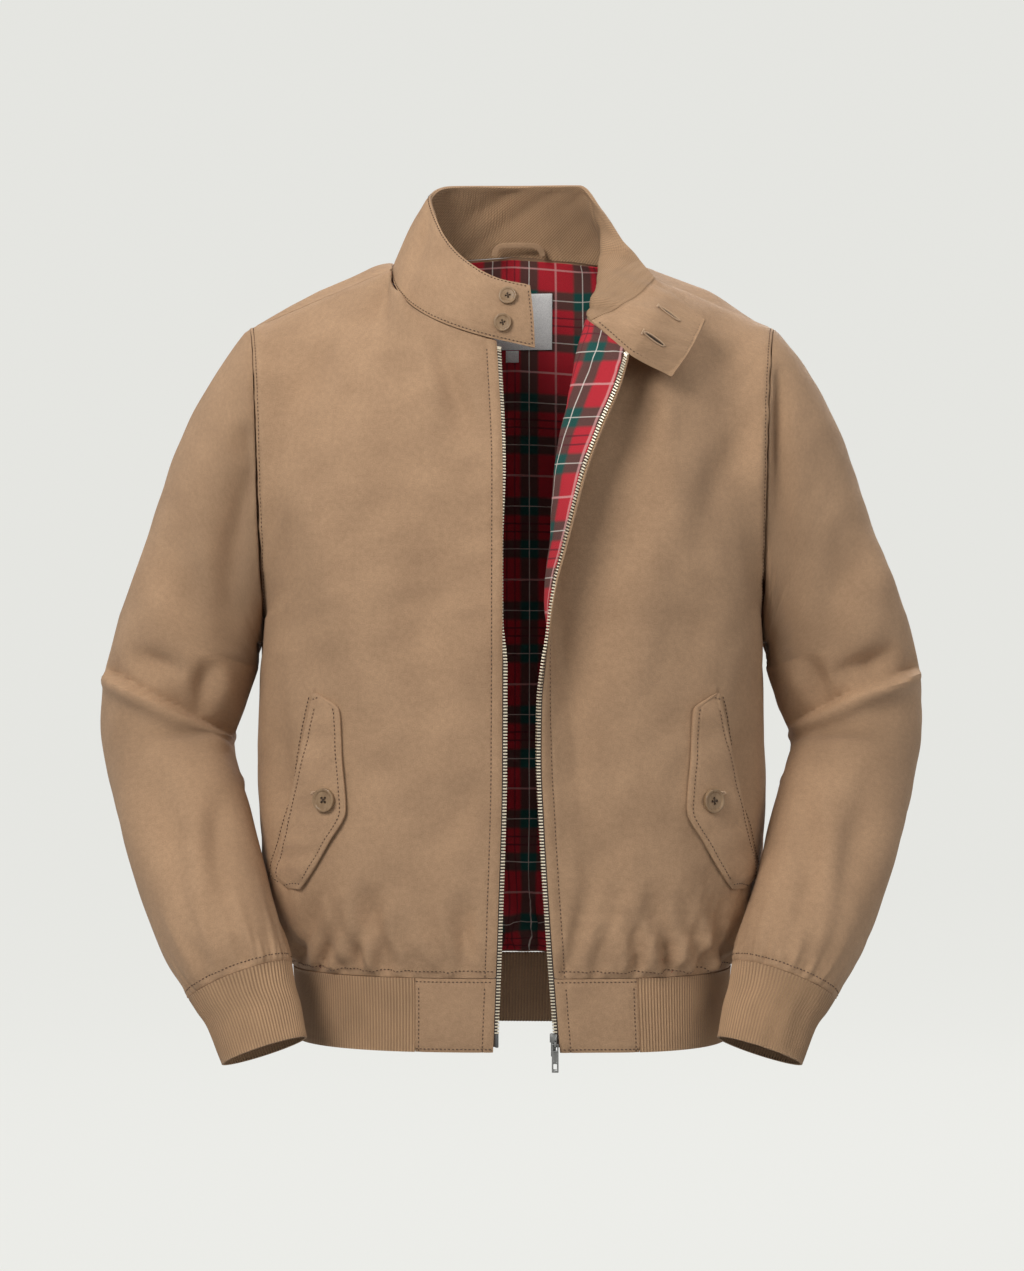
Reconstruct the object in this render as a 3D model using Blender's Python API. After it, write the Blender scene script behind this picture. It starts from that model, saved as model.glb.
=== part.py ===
"""A harrington jacket, filled out as when worn, with no wearer.

Metres, +Z up. The origin is the middle of the neck opening at the height of the neck points,
+X is the wearer's left and -Y is the front. Cloth pieces are thin walls that keep a small gap
at each seam. The pull tab is a body of its own and turns on the slider's bail.
"""
import math

import bmesh
import bpy
import numpy as np
from mathutils import Matrix, Vector

RIGHT, LEFT = -1, 1          # the wearer's sides, along X

# Thickness of the layers, and the gap that two pieces keep.
GAP = 0.0003
SEAM_TRIM = 0.0002
SHELL = 0.0015
LINING = 0.0010
RIB = 0.0020
FLAP = 0.0020

# Heights and landmarks of the body, for the left side: x is mirrored for the right.
HEM_BOTTOM = -0.6585
HEM_SEAM = -0.5970
UNDERARM_Z = -0.300
SIDE_Y = 0.005
SHOULDER_POINT = (0.227, 0.008, -0.050)
NECK_POINT = (0.104, 0.010, 0.003)
BACK_NECK = (0.0, 0.078, 0.019)
BACK_NECK_TURN = (0.100, 0.076, 0.012)
ARMHOLE_FRONT = 0.073
ARMHOLE_BACK = 0.072
SHOULDER_SHARE = 0.68        # part of a panel's width that ends in the shoulder seam
SHOULDER_RIDGE = 0.75        # how far the back rises behind the shoulder seam
CHEST_INSET = 0.014          # how far the chest draws in between hem and shoulder

# Front neckline: where it ends at the front edge and the point it turns by.
FRONT_NECK = {RIGHT: ((-0.104, -0.085, -0.045), (-0.0125, -0.085, -0.067)),
              LEFT: ((0.104, -0.035, -0.022), (0.067, -0.083, -0.046))}
LEFT_CORNER_DROP = 0.036     # the left neckline falls this far from its roll to its corner

# The body's cross-sections: height, half width, front reach, back reach, squareness.
TRUNK = (
    (-0.6600, 0.184, -0.125, 0.116, 2.3),
    (-0.5970, 0.188, -0.129, 0.119, 2.3),
    (-0.5880, 0.197, -0.131, 0.124, 2.3),
    (-0.5650, 0.207, -0.135, 0.129, 2.4),
    (-0.5200, 0.213, -0.138, 0.130, 2.5),
    (-0.4200, 0.2155, -0.138, 0.128, 2.6),
    (-0.3000, 0.2135, -0.134, 0.124, 2.8),
)

# The right front's edge: height, x.
RIGHT_EDGE = (
    (-0.660, -0.0155),
    (-0.550, -0.0115),
    (-0.420, -0.0080),
    (-0.180, -0.0075),
    (-0.067, -0.0125),
)

# The left front's edge rolls outwards: height, x of the edge, width of cloth that turns,
# the angles in degrees where the turn starts and ends, and its radius.
LEFT_ROLL = (
    (-0.660, 0.0395, 0.034, 0, 4, 0.010),
    (-0.560, 0.0321, 0.034, 0, 10, 0.010),
    (-0.465, 0.0264, 0.034, 0, 17, 0.010),
    (-0.418, 0.0247, 0.034, 0, 26, 0.010),
    (-0.370, 0.0256, 0.034, 0, 44, 0.010),
    (-0.342, 0.0282, 0.035, 1, 64, 0.010),
    (-0.318, 0.0310, 0.037, 2, 82, 0.010),
    (-0.297, 0.0333, 0.039, 3, 96, 0.010),
    (-0.272, 0.0377, 0.0413, 3, 107, 0.010),
    (-0.248, 0.0443, 0.044, 3, 116, 0.010),
    (-0.217, 0.0525, 0.0492, 4, 125, 0.0105),
    (-0.183, 0.0615, 0.0516, 6, 134, 0.011),
    (-0.147, 0.0746, 0.0557, 10, 142, 0.012),
    (-0.109, 0.0902, 0.0600, 25, 150, 0.013),
    (-0.082, 0.0975, 0.0502, 60, 150, 0.013),
)

# The sleeve below the armhole, for the right side: ring centre x, y, z, tilt and pitch of
# the ring in degrees, half width, and half depth to the front and to the back.
SLEEVE = (
    (-0.2780, 0.002, -0.3195, 21, 0, 0.0636, 0.062, 0.060),
    (-0.2900, 0.003, -0.3605, 14, 0, 0.0620, 0.060, 0.058),
    (-0.2963, 0.000, -0.3969, 4, 6, 0.0570, 0.057, 0.055),
    (-0.2912, -0.012, -0.4239, -8, 16, 0.0555, 0.055, 0.052),
    (-0.2766, -0.036, -0.4715, -15, 22, 0.0550, 0.052, 0.048),
    (-0.2593, -0.063, -0.5244, -16, 22, 0.0534, 0.050, 0.044),
    (-0.2424, -0.084, -0.5676, -17, 20, 0.0517, 0.047, 0.040),
    (-0.2257, -0.100, -0.6015, -20, 18, 0.0457, 0.036, 0.032),
)
CUFF = (
    (-0.2257, -0.100, -0.6015, -20, 18, 0.0457, 0.036, 0.032),
    (-0.2207, -0.106, -0.6150, -16, 17, 0.0425, 0.031, 0.029),
    (-0.2136, -0.112, -0.6285, -14, 16, 0.0398, 0.028, 0.027),
    (-0.2041, -0.124, -0.6569, -18, 15, 0.0369, 0.026, 0.025),
)
SLEEVE_CLEARANCE = 0.0045

# The collar from the button end (-1) round the back (0) to the buttonhole tab (1):
# place along it, then the points half way up it and at its top edge.
COLLAR = (
    (-1.00, 0.0180, -0.0880, -0.0470, 0.0151, -0.0800, -0.0200),
    (-0.90, -0.0115, -0.0850, -0.0400, -0.0100, -0.0750, -0.0143),
    (-0.72, -0.0520, -0.0640, -0.0215, -0.0423, -0.0520, 0.0067),
    (-0.55, -0.0760, -0.0330, 0.0030, -0.0615, -0.0220, 0.0340),
    (-0.35, -0.0890, 0.0130, 0.0360, -0.0715, 0.0150, 0.0660),
    (-0.20, -0.0660, 0.0520, 0.0470, -0.0560, 0.0420, 0.0780),
    (0.00, 0.0000, 0.0760, 0.0500, 0.0000, 0.0620, 0.0810),
    (0.20, 0.0660, 0.0500, 0.0470, 0.0590, 0.0400, 0.0785),
    (0.35, 0.0830, 0.0060, 0.0260, 0.0790, 0.0120, 0.0525),
    (0.50, 0.0760, -0.0300, -0.0040, 0.0975, -0.0220, 0.0185),
    (0.62, 0.0780, -0.0720, -0.0210, 0.1070, -0.0340, 0.0030),
    (0.70, 0.0980, -0.0860, -0.0370, 0.1201, -0.0500, -0.0145),
    (0.90, 0.1170, -0.1060, -0.0560, 0.1345, -0.0640, -0.0290),
    (1.00, 0.1480, -0.0960, -0.0770, 0.1618, -0.0750, -0.0523),
)
COLLAR_BACK_SHARE = 0.35     # the collar's place at each neck point
COLLAR_ROLL_SHARE = 0.62     # where the left front starts to roll
COLLAR_EDGE_SHARE = 0.90     # over each front edge; what follows is the end or the tab
END_BOTTOM = {RIGHT: (0.0192, -0.0890, -0.0743), LEFT: (0.1318, -0.1110, -0.1017)}
RIB_ENDS = (-0.80, 0.70)     # the rib facing runs between these, and woven cloth follows

# The woven ends of the hem band reach from the zip to these places.
HEM_END_X = {RIGHT: 0.0805, LEFT: 0.1035}

# Pocket flap: height, x of the sewn side and x of the free side, for the left side.
POCKET_FLAP = (
    (-0.3640, 0.1640, 0.1540),
    (-0.3690, 0.1651, 0.1462),
    (-0.3780, 0.1672, 0.1418),
    (-0.4180, 0.1761, 0.1395),
    (-0.4577, 0.1850, 0.1365),
    (-0.4860, 0.1911, 0.1510),
    (-0.5140, 0.1972, 0.1672),
    (-0.5255, 0.1860, 0.1752),
)
POCKET_SHIFT = {RIGHT: 0.0, LEFT: 0.007}
POCKET_BUTTON = {RIGHT: (0.1530, -0.4502), LEFT: (0.1638, -0.4510)}
COLLAR_BUTTONS = {"collar_button_top": (-0.93, 0.70), "collar_button_low": (-0.915, 0.27)}

# Buttons: from the middle of the back to the middle of the face, as shares of the radius and
# of the height.
BUTTON_PROFILE = ((0.0, 0.0), (0.80, 0.0), (1.0, 0.35), (0.97, 0.85), (0.84, 1.0), (0.70, 0.72), (0.0, 0.60))
BUTTON_HEIGHT = 0.34         # of the radius
BUTTON_SEGMENTS = 20
POCKET_BUTTON_RADIUS = 0.0100
COLLAR_BUTTON_RADIUS = 0.0075
FLAP_LIFT = 0.0015
BUTTON_LIFT = 0.0041

# Blank labels: lowest and highest z, lowest and highest x.
LABELS = {"label": (-0.0610, -0.0125, -0.0355, 0.0355), "size_tab": (-0.0718, -0.0616, -0.0055, 0.0060)}
LABEL = 0.0008
LABEL_LIFT = 0.0012

# The hanger loop's middle line, from its first foot: x, height above the foot.
HANGER_FOOT = (0.0055, 0.0640, 0.0180)
HANGER_LINE = (
    (-0.0215, 0.0005),
    (-0.0195, 0.0075),
    (-0.0155, 0.0098),
    (0.0000, 0.0104),
    (0.0155, 0.0098),
    (0.0195, 0.0075),
    (0.0215, 0.0005),
)
HANGER_WIDTH, HANGER_THICK = 0.0050, 0.0014

# Zip furniture. The slider and box hang from the foot of the left chain.
PIN_HALF = (0.0014, 0.0011)
PIN_LENGTH = 0.0120
SLIDER_OUTLINE = ((-0.0044, 0.0), (0.0017, 0.0), (0.0017, -0.0060), (0.0014, -0.0145),
                  (-0.0034, -0.0145), (-0.0044, -0.0060))
SLIDER_DEPTH = 0.0027        # half
BOX_X, BOX_DEPTH, BOX_HEIGHT = (-0.0034, 0.0014), 0.0021, 0.0040

# The slider's bail: its clear gap, bar and half width, and its ends below and above the pin.
BAIL_GAP, BAIL_BAR, BAIL_HALF = 0.0028, 0.0010, 0.0010
BAIL_LOW, BAIL_HIGH = -0.0024, 0.0030
BAIL_ROOT = 0.0004
PULL_DROP = 0.0085           # the pull tab's axis below the chain's foot
PULL_BACK = 0.0001           # and behind the middle of the bail's gap

# The pull tab: heights of its rows of points from the axis, and its half widths.
PULL_ROWS = (0.0006, -0.0006, -0.0050, -0.0160, -0.0205, -0.0232)
PULL_HALF, PULL_THICK = 0.0028, 0.0012
SLOT_HALF, HOLE_HALF = 0.0016, 0.0015
SLOT_ROW, HOLE_ROW = 1, 3

# Zip: chain and tape, measured from the front edge and down from the face.
TAPE_EDGE = 0.0066
TAPE = 0.0008
CHAIN_WIDTH = 0.0040
CHAIN_DEPTH = 0.0024
LINING_EDGE = 0.0070
TAPE_TOP, CHAIN_TOP = 0.90, 0.72     # parts of the last stretch, below the neck seam
TAPE_TRIM = 0.02
CHAIN_BOTTOM = -0.6420
# How far the chain's middle stands past the front edge: height, right side, left side.
CHAIN_REACH = (
    (-0.660, 0.0022, 0.0024),
    (-0.340, 0.0024, 0.0024),
    (-0.300, -0.0012, -0.0010),
    (-0.240, -0.0014, -0.0030),
    (-0.180, 0.0006, -0.0034),
    (-0.060, 0.0018, -0.0034),
)

# Colours as they look in daylight: red, green, blue in linear light, then roughness.
TAN = (0.36, 0.225, 0.13)
TAN_RIB = (0.33, 0.20, 0.115)
TARTAN_RED = (0.40, 0.02, 0.03)
GUNMETAL = (0.25, 0.25, 0.25)
BRASS_TEETH = (0.55, 0.50, 0.40)
HORN = (0.42, 0.25, 0.11)
WHITE_CLOTH = (0.80, 0.80, 0.78)
DARK_TAPE = (0.06, 0.04, 0.03)

HEM_ROWS = (HEM_BOTTOM, (HEM_BOTTOM + HEM_SEAM) / 2, HEM_SEAM)
ARM_STEPS = 10               # rows from the underarm to the shoulder point
SIDE_ROWS = (HEM_SEAM, -0.588, -0.562, -0.490, -0.420, -0.355, UNDERARM_Z)
FRONT_COLUMNS = (0.0, 0.10, 0.22, 0.36, 0.52, 0.68, 0.80, 0.90, 1.0)
BACK_COLUMNS = (0.0, 0.10, 0.22, 0.36, 0.52, 0.68, 0.84, 1.0)
ROLL_COLUMNS = (0.13, 0.27, 0.41, 0.68, 1.0)


# ---------------------------------------------------------------- curves and blends

def smooth(low, high, value):
    """0 below low, 1 above high, and an even rise between."""
    share = np.clip((value - low) / (high - low), 0.0, 1.0)
    return share * share * (3.0 - 2.0 * share)


def mix(start, end, share):
    """The value a share of the way from start to end."""
    return start + (end - start) * share


def table_at(table, keys):
    """The other columns of a table where its first column is keys, joined smoothly."""
    rows = np.array(table, dtype=float)
    knots, values = rows[:, 0], rows[:, 1:]
    keys = np.clip(np.asarray(keys, dtype=float), knots[0], knots[-1])
    steps = np.diff(knots)
    rises = np.diff(values, axis=0) / steps[:, None]
    slopes = np.zeros_like(values)
    slopes[0], slopes[-1] = rises[0], rises[-1]
    product = rises[:-1] * rises[1:]
    total = rises[:-1] + rises[1:]
    safe = np.where(product > 0, total, 1.0)
    slopes[1:-1] = np.where(product > 0, 2.0 * product / safe, 0.0)
    index = np.clip(np.searchsorted(knots, keys, side="right") - 1, 0, len(steps) - 1)
    width = steps[index][..., None]
    share = ((keys - knots[index]) / steps[index])[..., None]
    square, cube = share ** 2, share ** 3
    return ((2 * cube - 3 * square + 1) * values[index]
            + (cube - 2 * square + share) * width * slopes[index]
            + (3 * square - 2 * cube) * values[index + 1]
            + (cube - square) * width * slopes[index + 1])


def bend(start, turn, end, share):
    """Points on the curve from start to end that leaves and arrives by the turn point."""
    start, turn, end = (np.array(point, dtype=float) for point in (start, turn, end))
    share = np.asarray(share, dtype=float)[..., None]
    return (1 - share) ** 2 * start + 2 * share * (1 - share) * turn + share ** 2 * end


def mirrored(point, side):
    """A left-side point, or its mirror image."""
    return (point[0] * side, point[1], point[2])


# ---------------------------------------------------------------- the body's surface

def edge_x(side, height):
    """x where the even part of a front ends: its edge, or the start of the left roll."""
    if side == RIGHT:
        return table_at(RIGHT_EDGE, height)[..., 0]
    return roll_start(height)[..., 0]


def roll_start(height):
    """x of the roll's start, straight width after it, start angle, end angle, radius."""
    edge, width, first, last, radius = np.moveaxis(table_at(LEFT_ROLL, height), -1, 0)
    first, last = np.radians(first), np.radians(last)
    straight = width - radius * (last - first)
    start = edge + radius * (np.sin(last) - np.sin(first)) + straight * np.cos(last)
    return np.stack([start, straight, first, last, radius], axis=-1)


def section(side, height, across, back=False):
    """A point of the body's cross-section: across is 0 at the side and 1 at the middle."""
    half, front, rear, square = np.moveaxis(table_at(TRUNK, height), -1, 0)
    angle = across * math.pi / 2
    inner = np.zeros_like(half) if back else edge_x(side, height) * side
    x = inner + (half - inner) * np.cos(angle).clip(0) ** (2 / square)
    reach = rear if back else front
    y = SIDE_Y + (reach - SIDE_Y) * np.sin(angle) ** (2 / square)
    return np.stack([x * side, y, height + 0 * x], axis=-1)


def top_line(side, across, back=False):
    """The panel's upper edge: the shoulder seam, then the neckline."""
    outer = np.array(mirrored(SHOULDER_POINT, side))
    inner = np.array(mirrored(NECK_POINT, side))
    share = (np.clip(across / SHOULDER_SHARE, 0, 1) ** 1.3)[..., None]
    shoulder = outer + (inner - outer) * share
    if back:
        turn, end = mirrored(BACK_NECK_TURN, side), BACK_NECK
    else:
        turn, end = FRONT_NECK[side]
    round_neck = np.clip((across - SHOULDER_SHARE) / (1 - SHOULDER_SHARE), 0, 1)
    neck = bend(inner, turn, end, round_neck)
    return np.where((across <= SHOULDER_SHARE)[..., None], shoulder, neck)


def yoke(side, across, up, back=False):
    """A panel above the underarm: up is 0 there and 1 at the shoulder and the neck."""
    low = section(side, np.full_like(across, UNDERARM_Z), across, back)
    spread = 0.16 * (1 - up) ** 0.7 * np.sin(math.pi * across)
    high = sum(top_line(side, across + spread * part, back) for part in (-1, -0.5, 0, 0.5, 1)) / 5
    arm = np.sin(math.pi * up).clip(0) ** 0.9
    near_arm = np.exp(-4.5 * across)
    lift = mix((1 - np.cos(math.pi * up)) / 2, up, smooth(0.0, 0.35, across))
    z = mix(low[..., 2], high[..., 2], lift)
    lean = np.clip((up - 0.3) / 0.7, 0, 1) ** 1.7
    inset = CHEST_INSET * np.sin(math.pi * across ** 0.6) * np.sin(math.pi * up)
    x = mix(low[..., 0], high[..., 0], lean) - side * inset
    over_neck = smooth(0.66, 0.95, across)
    if back:
        over = mix(1 - (1 - up ** 3.0).clip(0) ** 0.60, up ** 2.2, over_neck)
        y = mix(low[..., 1], high[..., 1], over) + ARMHOLE_BACK * near_arm * arm
        ridge = SHOULDER_RIDGE * smooth(0, 0.40, across) * (1 - smooth(0.6, 0.9, across))
        z = z + ridge * up ** 8 * (1 - up)
    else:
        over = mix(1 - (1 - up ** 2.4).clip(0) ** 0.62, up ** 1.6, over_neck)
        y = mix(low[..., 1], high[..., 1], over) - ARMHOLE_FRONT * near_arm * arm
        edge_height = mix(UNDERARM_Z, high[..., 2], up)
        if side == LEFT:
            edge_height = mix(UNDERARM_Z, FRONT_NECK[LEFT][1][2] - LEFT_CORNER_DROP, up)
        middle = mix(section(side, UNDERARM_Z + 0 * across, 1 + 0 * across)[..., 0],
                     FRONT_NECK[side][1][0], lean)
        x = x + (edge_x(side, edge_height) - middle) * across ** 3
    return np.stack([x, y, z], axis=-1)


def panel(side, across, back=False):
    """Points of a front or of half the back: a row for each height, hem to top."""
    across = np.array(across, dtype=float)
    rows = [section(side, np.full_like(across, height), across, back) for height in SIDE_ROWS]
    for step in range(1, ARM_STEPS + 1):
        rows.append(yoke(side, across, np.full_like(across, step / ARM_STEPS), back))
    return np.array(rows)


def roll(grid, columns=ROLL_COLUMNS):
    """A left front or hem end with the columns of its rolled edge after its even part."""
    rows = []
    for number, row in enumerate(grid):
        up = max(0, number - len(SIDE_ROWS) + 1) / ARM_STEPS
        drop = LEFT_CORNER_DROP * up
        start = row[-1]
        rolled = [roll_point(start, start[2] - drop, drop, share) for share in columns]
        rows.append(np.vstack([row, rolled]))
    return np.array(rows)


def roll_point(start, edge_height, drop, share):
    """A point on the rolled edge, a share of the cloth's turned width from its start."""
    _, straight, first, last, radius = roll_start(edge_height)
    arc = radius * (last - first)
    along = share * (arc + straight)
    angle = first + min(along, arc) / radius
    rest = max(0.0, along - arc)
    x = start[0] - radius * (math.sin(angle) - math.sin(first)) - rest * math.cos(last)
    y = start[1] - radius * (math.cos(first) - math.cos(angle)) - rest * math.sin(last)
    return np.array([x, y, edge_height + drop * (1 - share ** 1.2)])


def on_trunk(side, x, height):
    """The point of a front at a distance x from the middle and a height."""
    half, front, _, square = table_at(TRUNK, height)
    inner = edge_x(side, np.array(height)) * side
    share = np.clip((x - inner) / (half - inner), 0, 1)
    depth = (1 - share ** square) ** (1 / square)
    return np.array([x * side, SIDE_Y + (front - SIDE_Y) * depth, height])


def push_clear(points, clearance):
    """Points moved out of the body's cross-section, with some room to spare."""
    points = points.copy()
    for index in np.ndindex(points.shape[:-1]):
        x, y, z = points[index]
        if z > UNDERARM_Z - 0.02:
            continue
        half, front, rear, square = table_at(TRUNK, z)
        reach = abs(front if y < SIDE_Y else rear) + clearance
        size = (abs(x) / (half + clearance)) ** square
        size = (size + (abs(y - SIDE_Y) / reach) ** square) ** (1 / square)
        if size < 1:
            grow = 1 / size
            points[index][0] = x * grow
            points[index][1] = SIDE_Y + (y - SIDE_Y) * grow
    return points


# ---------------------------------------------------------------- sleeves and cuffs

def armhole(side):
    """The armhole's ring from the underarm up the front and down the back."""
    column = np.zeros(1)
    front = [section(side, np.array([UNDERARM_Z]), column)[0]]
    for step in range(1, ARM_STEPS + 1):
        front.append(yoke(side, column, np.full(1, step / ARM_STEPS))[0])
    back = [yoke(side, column, np.full(1, step / ARM_STEPS), back=True)[0]
            for step in range(ARM_STEPS - 1, 0, -1)]
    return np.array(front + back)


def sleeve_ring(side, row):
    """One ring of a sleeve or cuff, from its inner side by the front to the back."""
    cx, cy, cz, tilt, pitch, half, to_front, to_back = row
    tilt, pitch = math.radians(tilt), math.radians(pitch)
    outwards = np.array([-math.cos(tilt), 0, math.sin(tilt)])
    forwards = np.array([0, -math.cos(pitch), math.sin(pitch)])
    points = []
    for step in range(2 * ARM_STEPS):
        angle = math.pi * step / ARM_STEPS
        depth = to_front if math.sin(angle) > 0 else to_back
        point = np.array([cx, cy, cz]) - outwards * half * math.cos(angle)
        point = point + forwards * depth * math.sin(angle)
        points.append(mirrored(point, -side))
    return np.array(points)


def sleeve_head(side, lower):
    """Rings that carry the armhole over into the sleeve's first round ring."""
    ring = armhole(side)
    rings = [ring]
    angle = np.arange(2 * ARM_STEPS) * math.pi / ARM_STEPS
    high = (1 - np.cos(angle)) / 2
    away = np.stack([side * (0.10 + 0.52 * high), -0.12 * np.sin(angle), -1 + 0.30 * high], axis=-1)
    away /= np.linalg.norm(away, axis=-1)[:, None]
    tilt = math.radians(SLEEVE[0][3])
    along = np.array([side * math.sin(tilt), 0, -math.cos(tilt)])
    length = np.linalg.norm(lower - ring, axis=-1)[:, None]
    for share in (0.2, 0.4, 0.6, 0.8):
        square, cube = share ** 2, share ** 3
        rings.append((2 * cube - 3 * square + 1) * ring + (cube - 2 * square + share) * length * away
                     + (3 * square - 2 * cube) * lower + (cube - square) * length * along)
    return rings


def sleeve_grid(side):
    """All rings of a sleeve, armhole to cuff, closed round."""
    lower = [sleeve_ring(side, row) for row in SLEEVE]
    rings = sleeve_head(side, lower[0]) + lower
    return push_clear(close_round(np.array(rings)), SLEEVE_CLEARANCE)


def cuff_grid(side):
    """All rings of a cuff, closed round."""
    rings = np.array([sleeve_ring(side, row) for row in CUFF])
    return push_clear(close_round(rings), SLEEVE_CLEARANCE)


def close_round(rings):
    """Rings with their first point again at the end."""
    return np.concatenate([rings, rings[:, :1]], axis=1)


# ---------------------------------------------------------------- collar and hem

def collar_grid(front_right, back, front_left):
    """The collar from its button end to its tab, and the place of each column along it."""
    necks = int(round(sum(column > SHOULDER_SHARE for column in FRONT_COLUMNS)))
    right = front_right[-1][::-1][:necks + 1]
    left = front_left[-1][len(FRONT_COLUMNS) - necks - 1:]
    first = back_neck_column(back)
    around = back[-1][first:len(back[-1]) - first]
    bottom = [END_BOTTOM[RIGHT], mix(np.array(END_BOTTOM[RIGHT]), right[0], 0.5)]
    places = [-1.0, (-1.0 - COLLAR_EDGE_SHARE) / 2]
    bottom.extend(right[:-1])
    places.extend(np.linspace(-COLLAR_EDGE_SHARE, -COLLAR_BACK_SHARE, necks + 1)[:-1])
    bottom.extend(around)
    places.extend(np.linspace(-COLLAR_BACK_SHARE, COLLAR_BACK_SHARE, len(around)))
    bottom.extend(left[1:necks + 1])
    places.extend(np.linspace(COLLAR_BACK_SHARE, COLLAR_ROLL_SHARE, necks + 1)[1:])
    bottom.extend(left[necks + 1:])
    turns = mix(COLLAR_ROLL_SHARE, COLLAR_EDGE_SHARE, np.array(ROLL_COLUMNS))
    places.extend(turns)
    bottom.extend([mix(left[-1], np.array(END_BOTTOM[LEFT]), 0.5), END_BOTTOM[LEFT]])
    places.extend([(1.0 + COLLAR_EDGE_SHARE) / 2, 1.0])
    bottom = np.array(bottom, dtype=float)
    places = np.array(places)
    shape = table_at(COLLAR, places)
    middle, top = shape[:, :3], shape[:, 3:]
    rows = []
    for share in (0.0, 0.25, 0.5, 0.75, 1.0):
        rows.append(bottom * (1 - share) * (1 - 2 * share) + middle * 4 * share * (1 - share)
                    + top * share * (2 * share - 1))
    return np.array(rows), places


def back_neck_column(back):
    """The number of the back's column at the right neck point."""
    return list(BACK_COLUMNS).index(SHOULDER_SHARE)


def across_at(side, x, height):
    """How far across a front, from its side, a distance x from the middle lies."""
    half, _, _, square = table_at(TRUNK, height)
    inner = edge_x(side, np.array(height)) * side
    return math.acos(((x - inner) / (half - inner)) ** (square / 2)) * 2 / math.pi


def hem_end_grid(side):
    """A woven end of the hem band, from the rib to the zip."""
    first = across_at(side, HEM_END_X[side], HEM_SEAM)
    across = np.linspace(first, 1, 3)
    rows = np.array([section(side, np.full_like(across, height), across) for height in HEM_ROWS])
    return roll(rows, (0.5, 1.0)) if side == LEFT else rows


def hem_rib_grid():
    """The rib band from the right woven end round the back to the left one."""
    right = np.linspace(across_at(RIGHT, HEM_END_X[RIGHT], HEM_SEAM), 0, 6)
    left = np.linspace(0, across_at(LEFT, HEM_END_X[LEFT], HEM_SEAM), 6)
    behind = np.linspace(0, 1, 7)[1:]
    rows = []
    for height in HEM_ROWS:
        rows.append(np.vstack([
            section(RIGHT, np.full_like(right, height), right),
            section(RIGHT, np.full_like(behind, height), behind, back=True),
            section(LEFT, np.full_like(behind, height), behind, back=True)[::-1][1:],
            section(LEFT, np.full_like(left, height), left)]))
    return np.array(rows)


# ---------------------------------------------------------------- walls from points

def cell_normals(grid, sign):
    """Area-weighted normals at a grid's points, on the side that sign gives."""
    normals = np.zeros_like(grid)
    a, b = grid[:-1, :-1], grid[:-1, 1:]
    c, d = grid[1:, 1:], grid[1:, :-1]
    face = np.cross(c - a, d - b) * sign
    for rows, columns in ((slice(None, -1), slice(None, -1)), (slice(None, -1), slice(1, None)),
                          (slice(1, None), slice(1, None)), (slice(1, None), slice(None, -1))):
        normals[rows, columns] += face
    return normals


def shared_normals(pieces):
    """Unit normals of each grid, averaged where the grids' points meet."""
    total = {}
    raw = {name: cell_normals(grid, sign) for name, (grid, sign) in pieces.items()}
    for name, (grid, _) in pieces.items():
        for index in np.ndindex(grid.shape[:-1]):
            key = tuple(np.round(grid[index], 5))
            total[key] = total.get(key, 0) + raw[name][index]
    result = {}
    for name, (grid, _) in pieces.items():
        unit = np.zeros_like(grid)
        for index in np.ndindex(grid.shape[:-1]):
            vector = total[tuple(np.round(grid[index], 5))]
            unit[index] = vector / np.linalg.norm(vector)
        result[name] = unit
    return result


def trimmed(grid, top=SEAM_TRIM, bottom=SEAM_TRIM, first=SEAM_TRIM, last=SEAM_TRIM):
    """A grid whose borders are drawn in by the trims."""
    grid = grid.copy()
    for rim, inside, amount in (((0,), (1,), bottom), ((-1,), (-2,), top)):
        step = grid[inside] - grid[rim]
        grid[rim] += amount * step / np.linalg.norm(step, axis=-1)[..., None]
    for rim, inside, amount in ((0, 1, first), (-1, -2, last)):
        if amount:
            step = grid[:, inside] - grid[:, rim]
            grid[:, rim] += amount * step / np.linalg.norm(step, axis=-1)[..., None]
    return grid


def wall(name, grid, normals, outer, inner, finish, closed=False):
    """A thin solid between two offsets of a grid, or a ring of one where closed."""
    if closed:
        grid, normals = grid[:, :-1], normals[:, :-1]
    rows, columns = grid.shape[:2]
    mesh = bmesh.new()
    layers = []
    for offset in (outer, inner):
        points = grid + normals * offset
        layers.append([[mesh.verts.new(points[r, c]) for c in range(columns)] for r in range(rows)])
    spans = columns if closed else columns - 1
    for layer in layers:
        for r in range(rows - 1):
            for c in range(spans):
                after = (c + 1) % columns
                mesh.faces.new((layer[r][c], layer[r][after], layer[r + 1][after], layer[r + 1][c]))
    over, under = layers
    for r in (0, rows - 1):
        for c in range(spans):
            after = (c + 1) % columns
            mesh.faces.new((over[r][c], over[r][after], under[r][after], under[r][c]))
    if not closed:
        for c in (0, columns - 1):
            for r in range(rows - 1):
                mesh.faces.new((over[r][c], over[r + 1][c], under[r + 1][c], under[r][c]))
    return solid(name, mesh, finish)


def solid(name, mesh, finish, smooth_angle=40):
    """An object from a closed bmesh, with its faces pointing out and a finish."""
    bmesh.ops.recalc_face_normals(mesh, faces=mesh.faces)
    data = bpy.data.meshes.new(name)
    mesh.to_mesh(data)
    mesh.free()
    data.shade_smooth()
    data.set_sharp_from_angle(angle=math.radians(smooth_angle))
    body = bpy.data.objects.new(name, data)
    bpy.context.scene.collection.objects.link(body)
    colour, roughness, metallic = finish
    material = bpy.data.materials.new(name)
    material.use_nodes = True
    shader = material.node_tree.nodes["Principled BSDF"]
    shader.inputs["Base Color"].default_value = (*colour, 1)
    shader.inputs["Roughness"].default_value = roughness
    shader.inputs["Metallic"].default_value = metallic
    data.materials.append(material)
    return body


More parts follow.
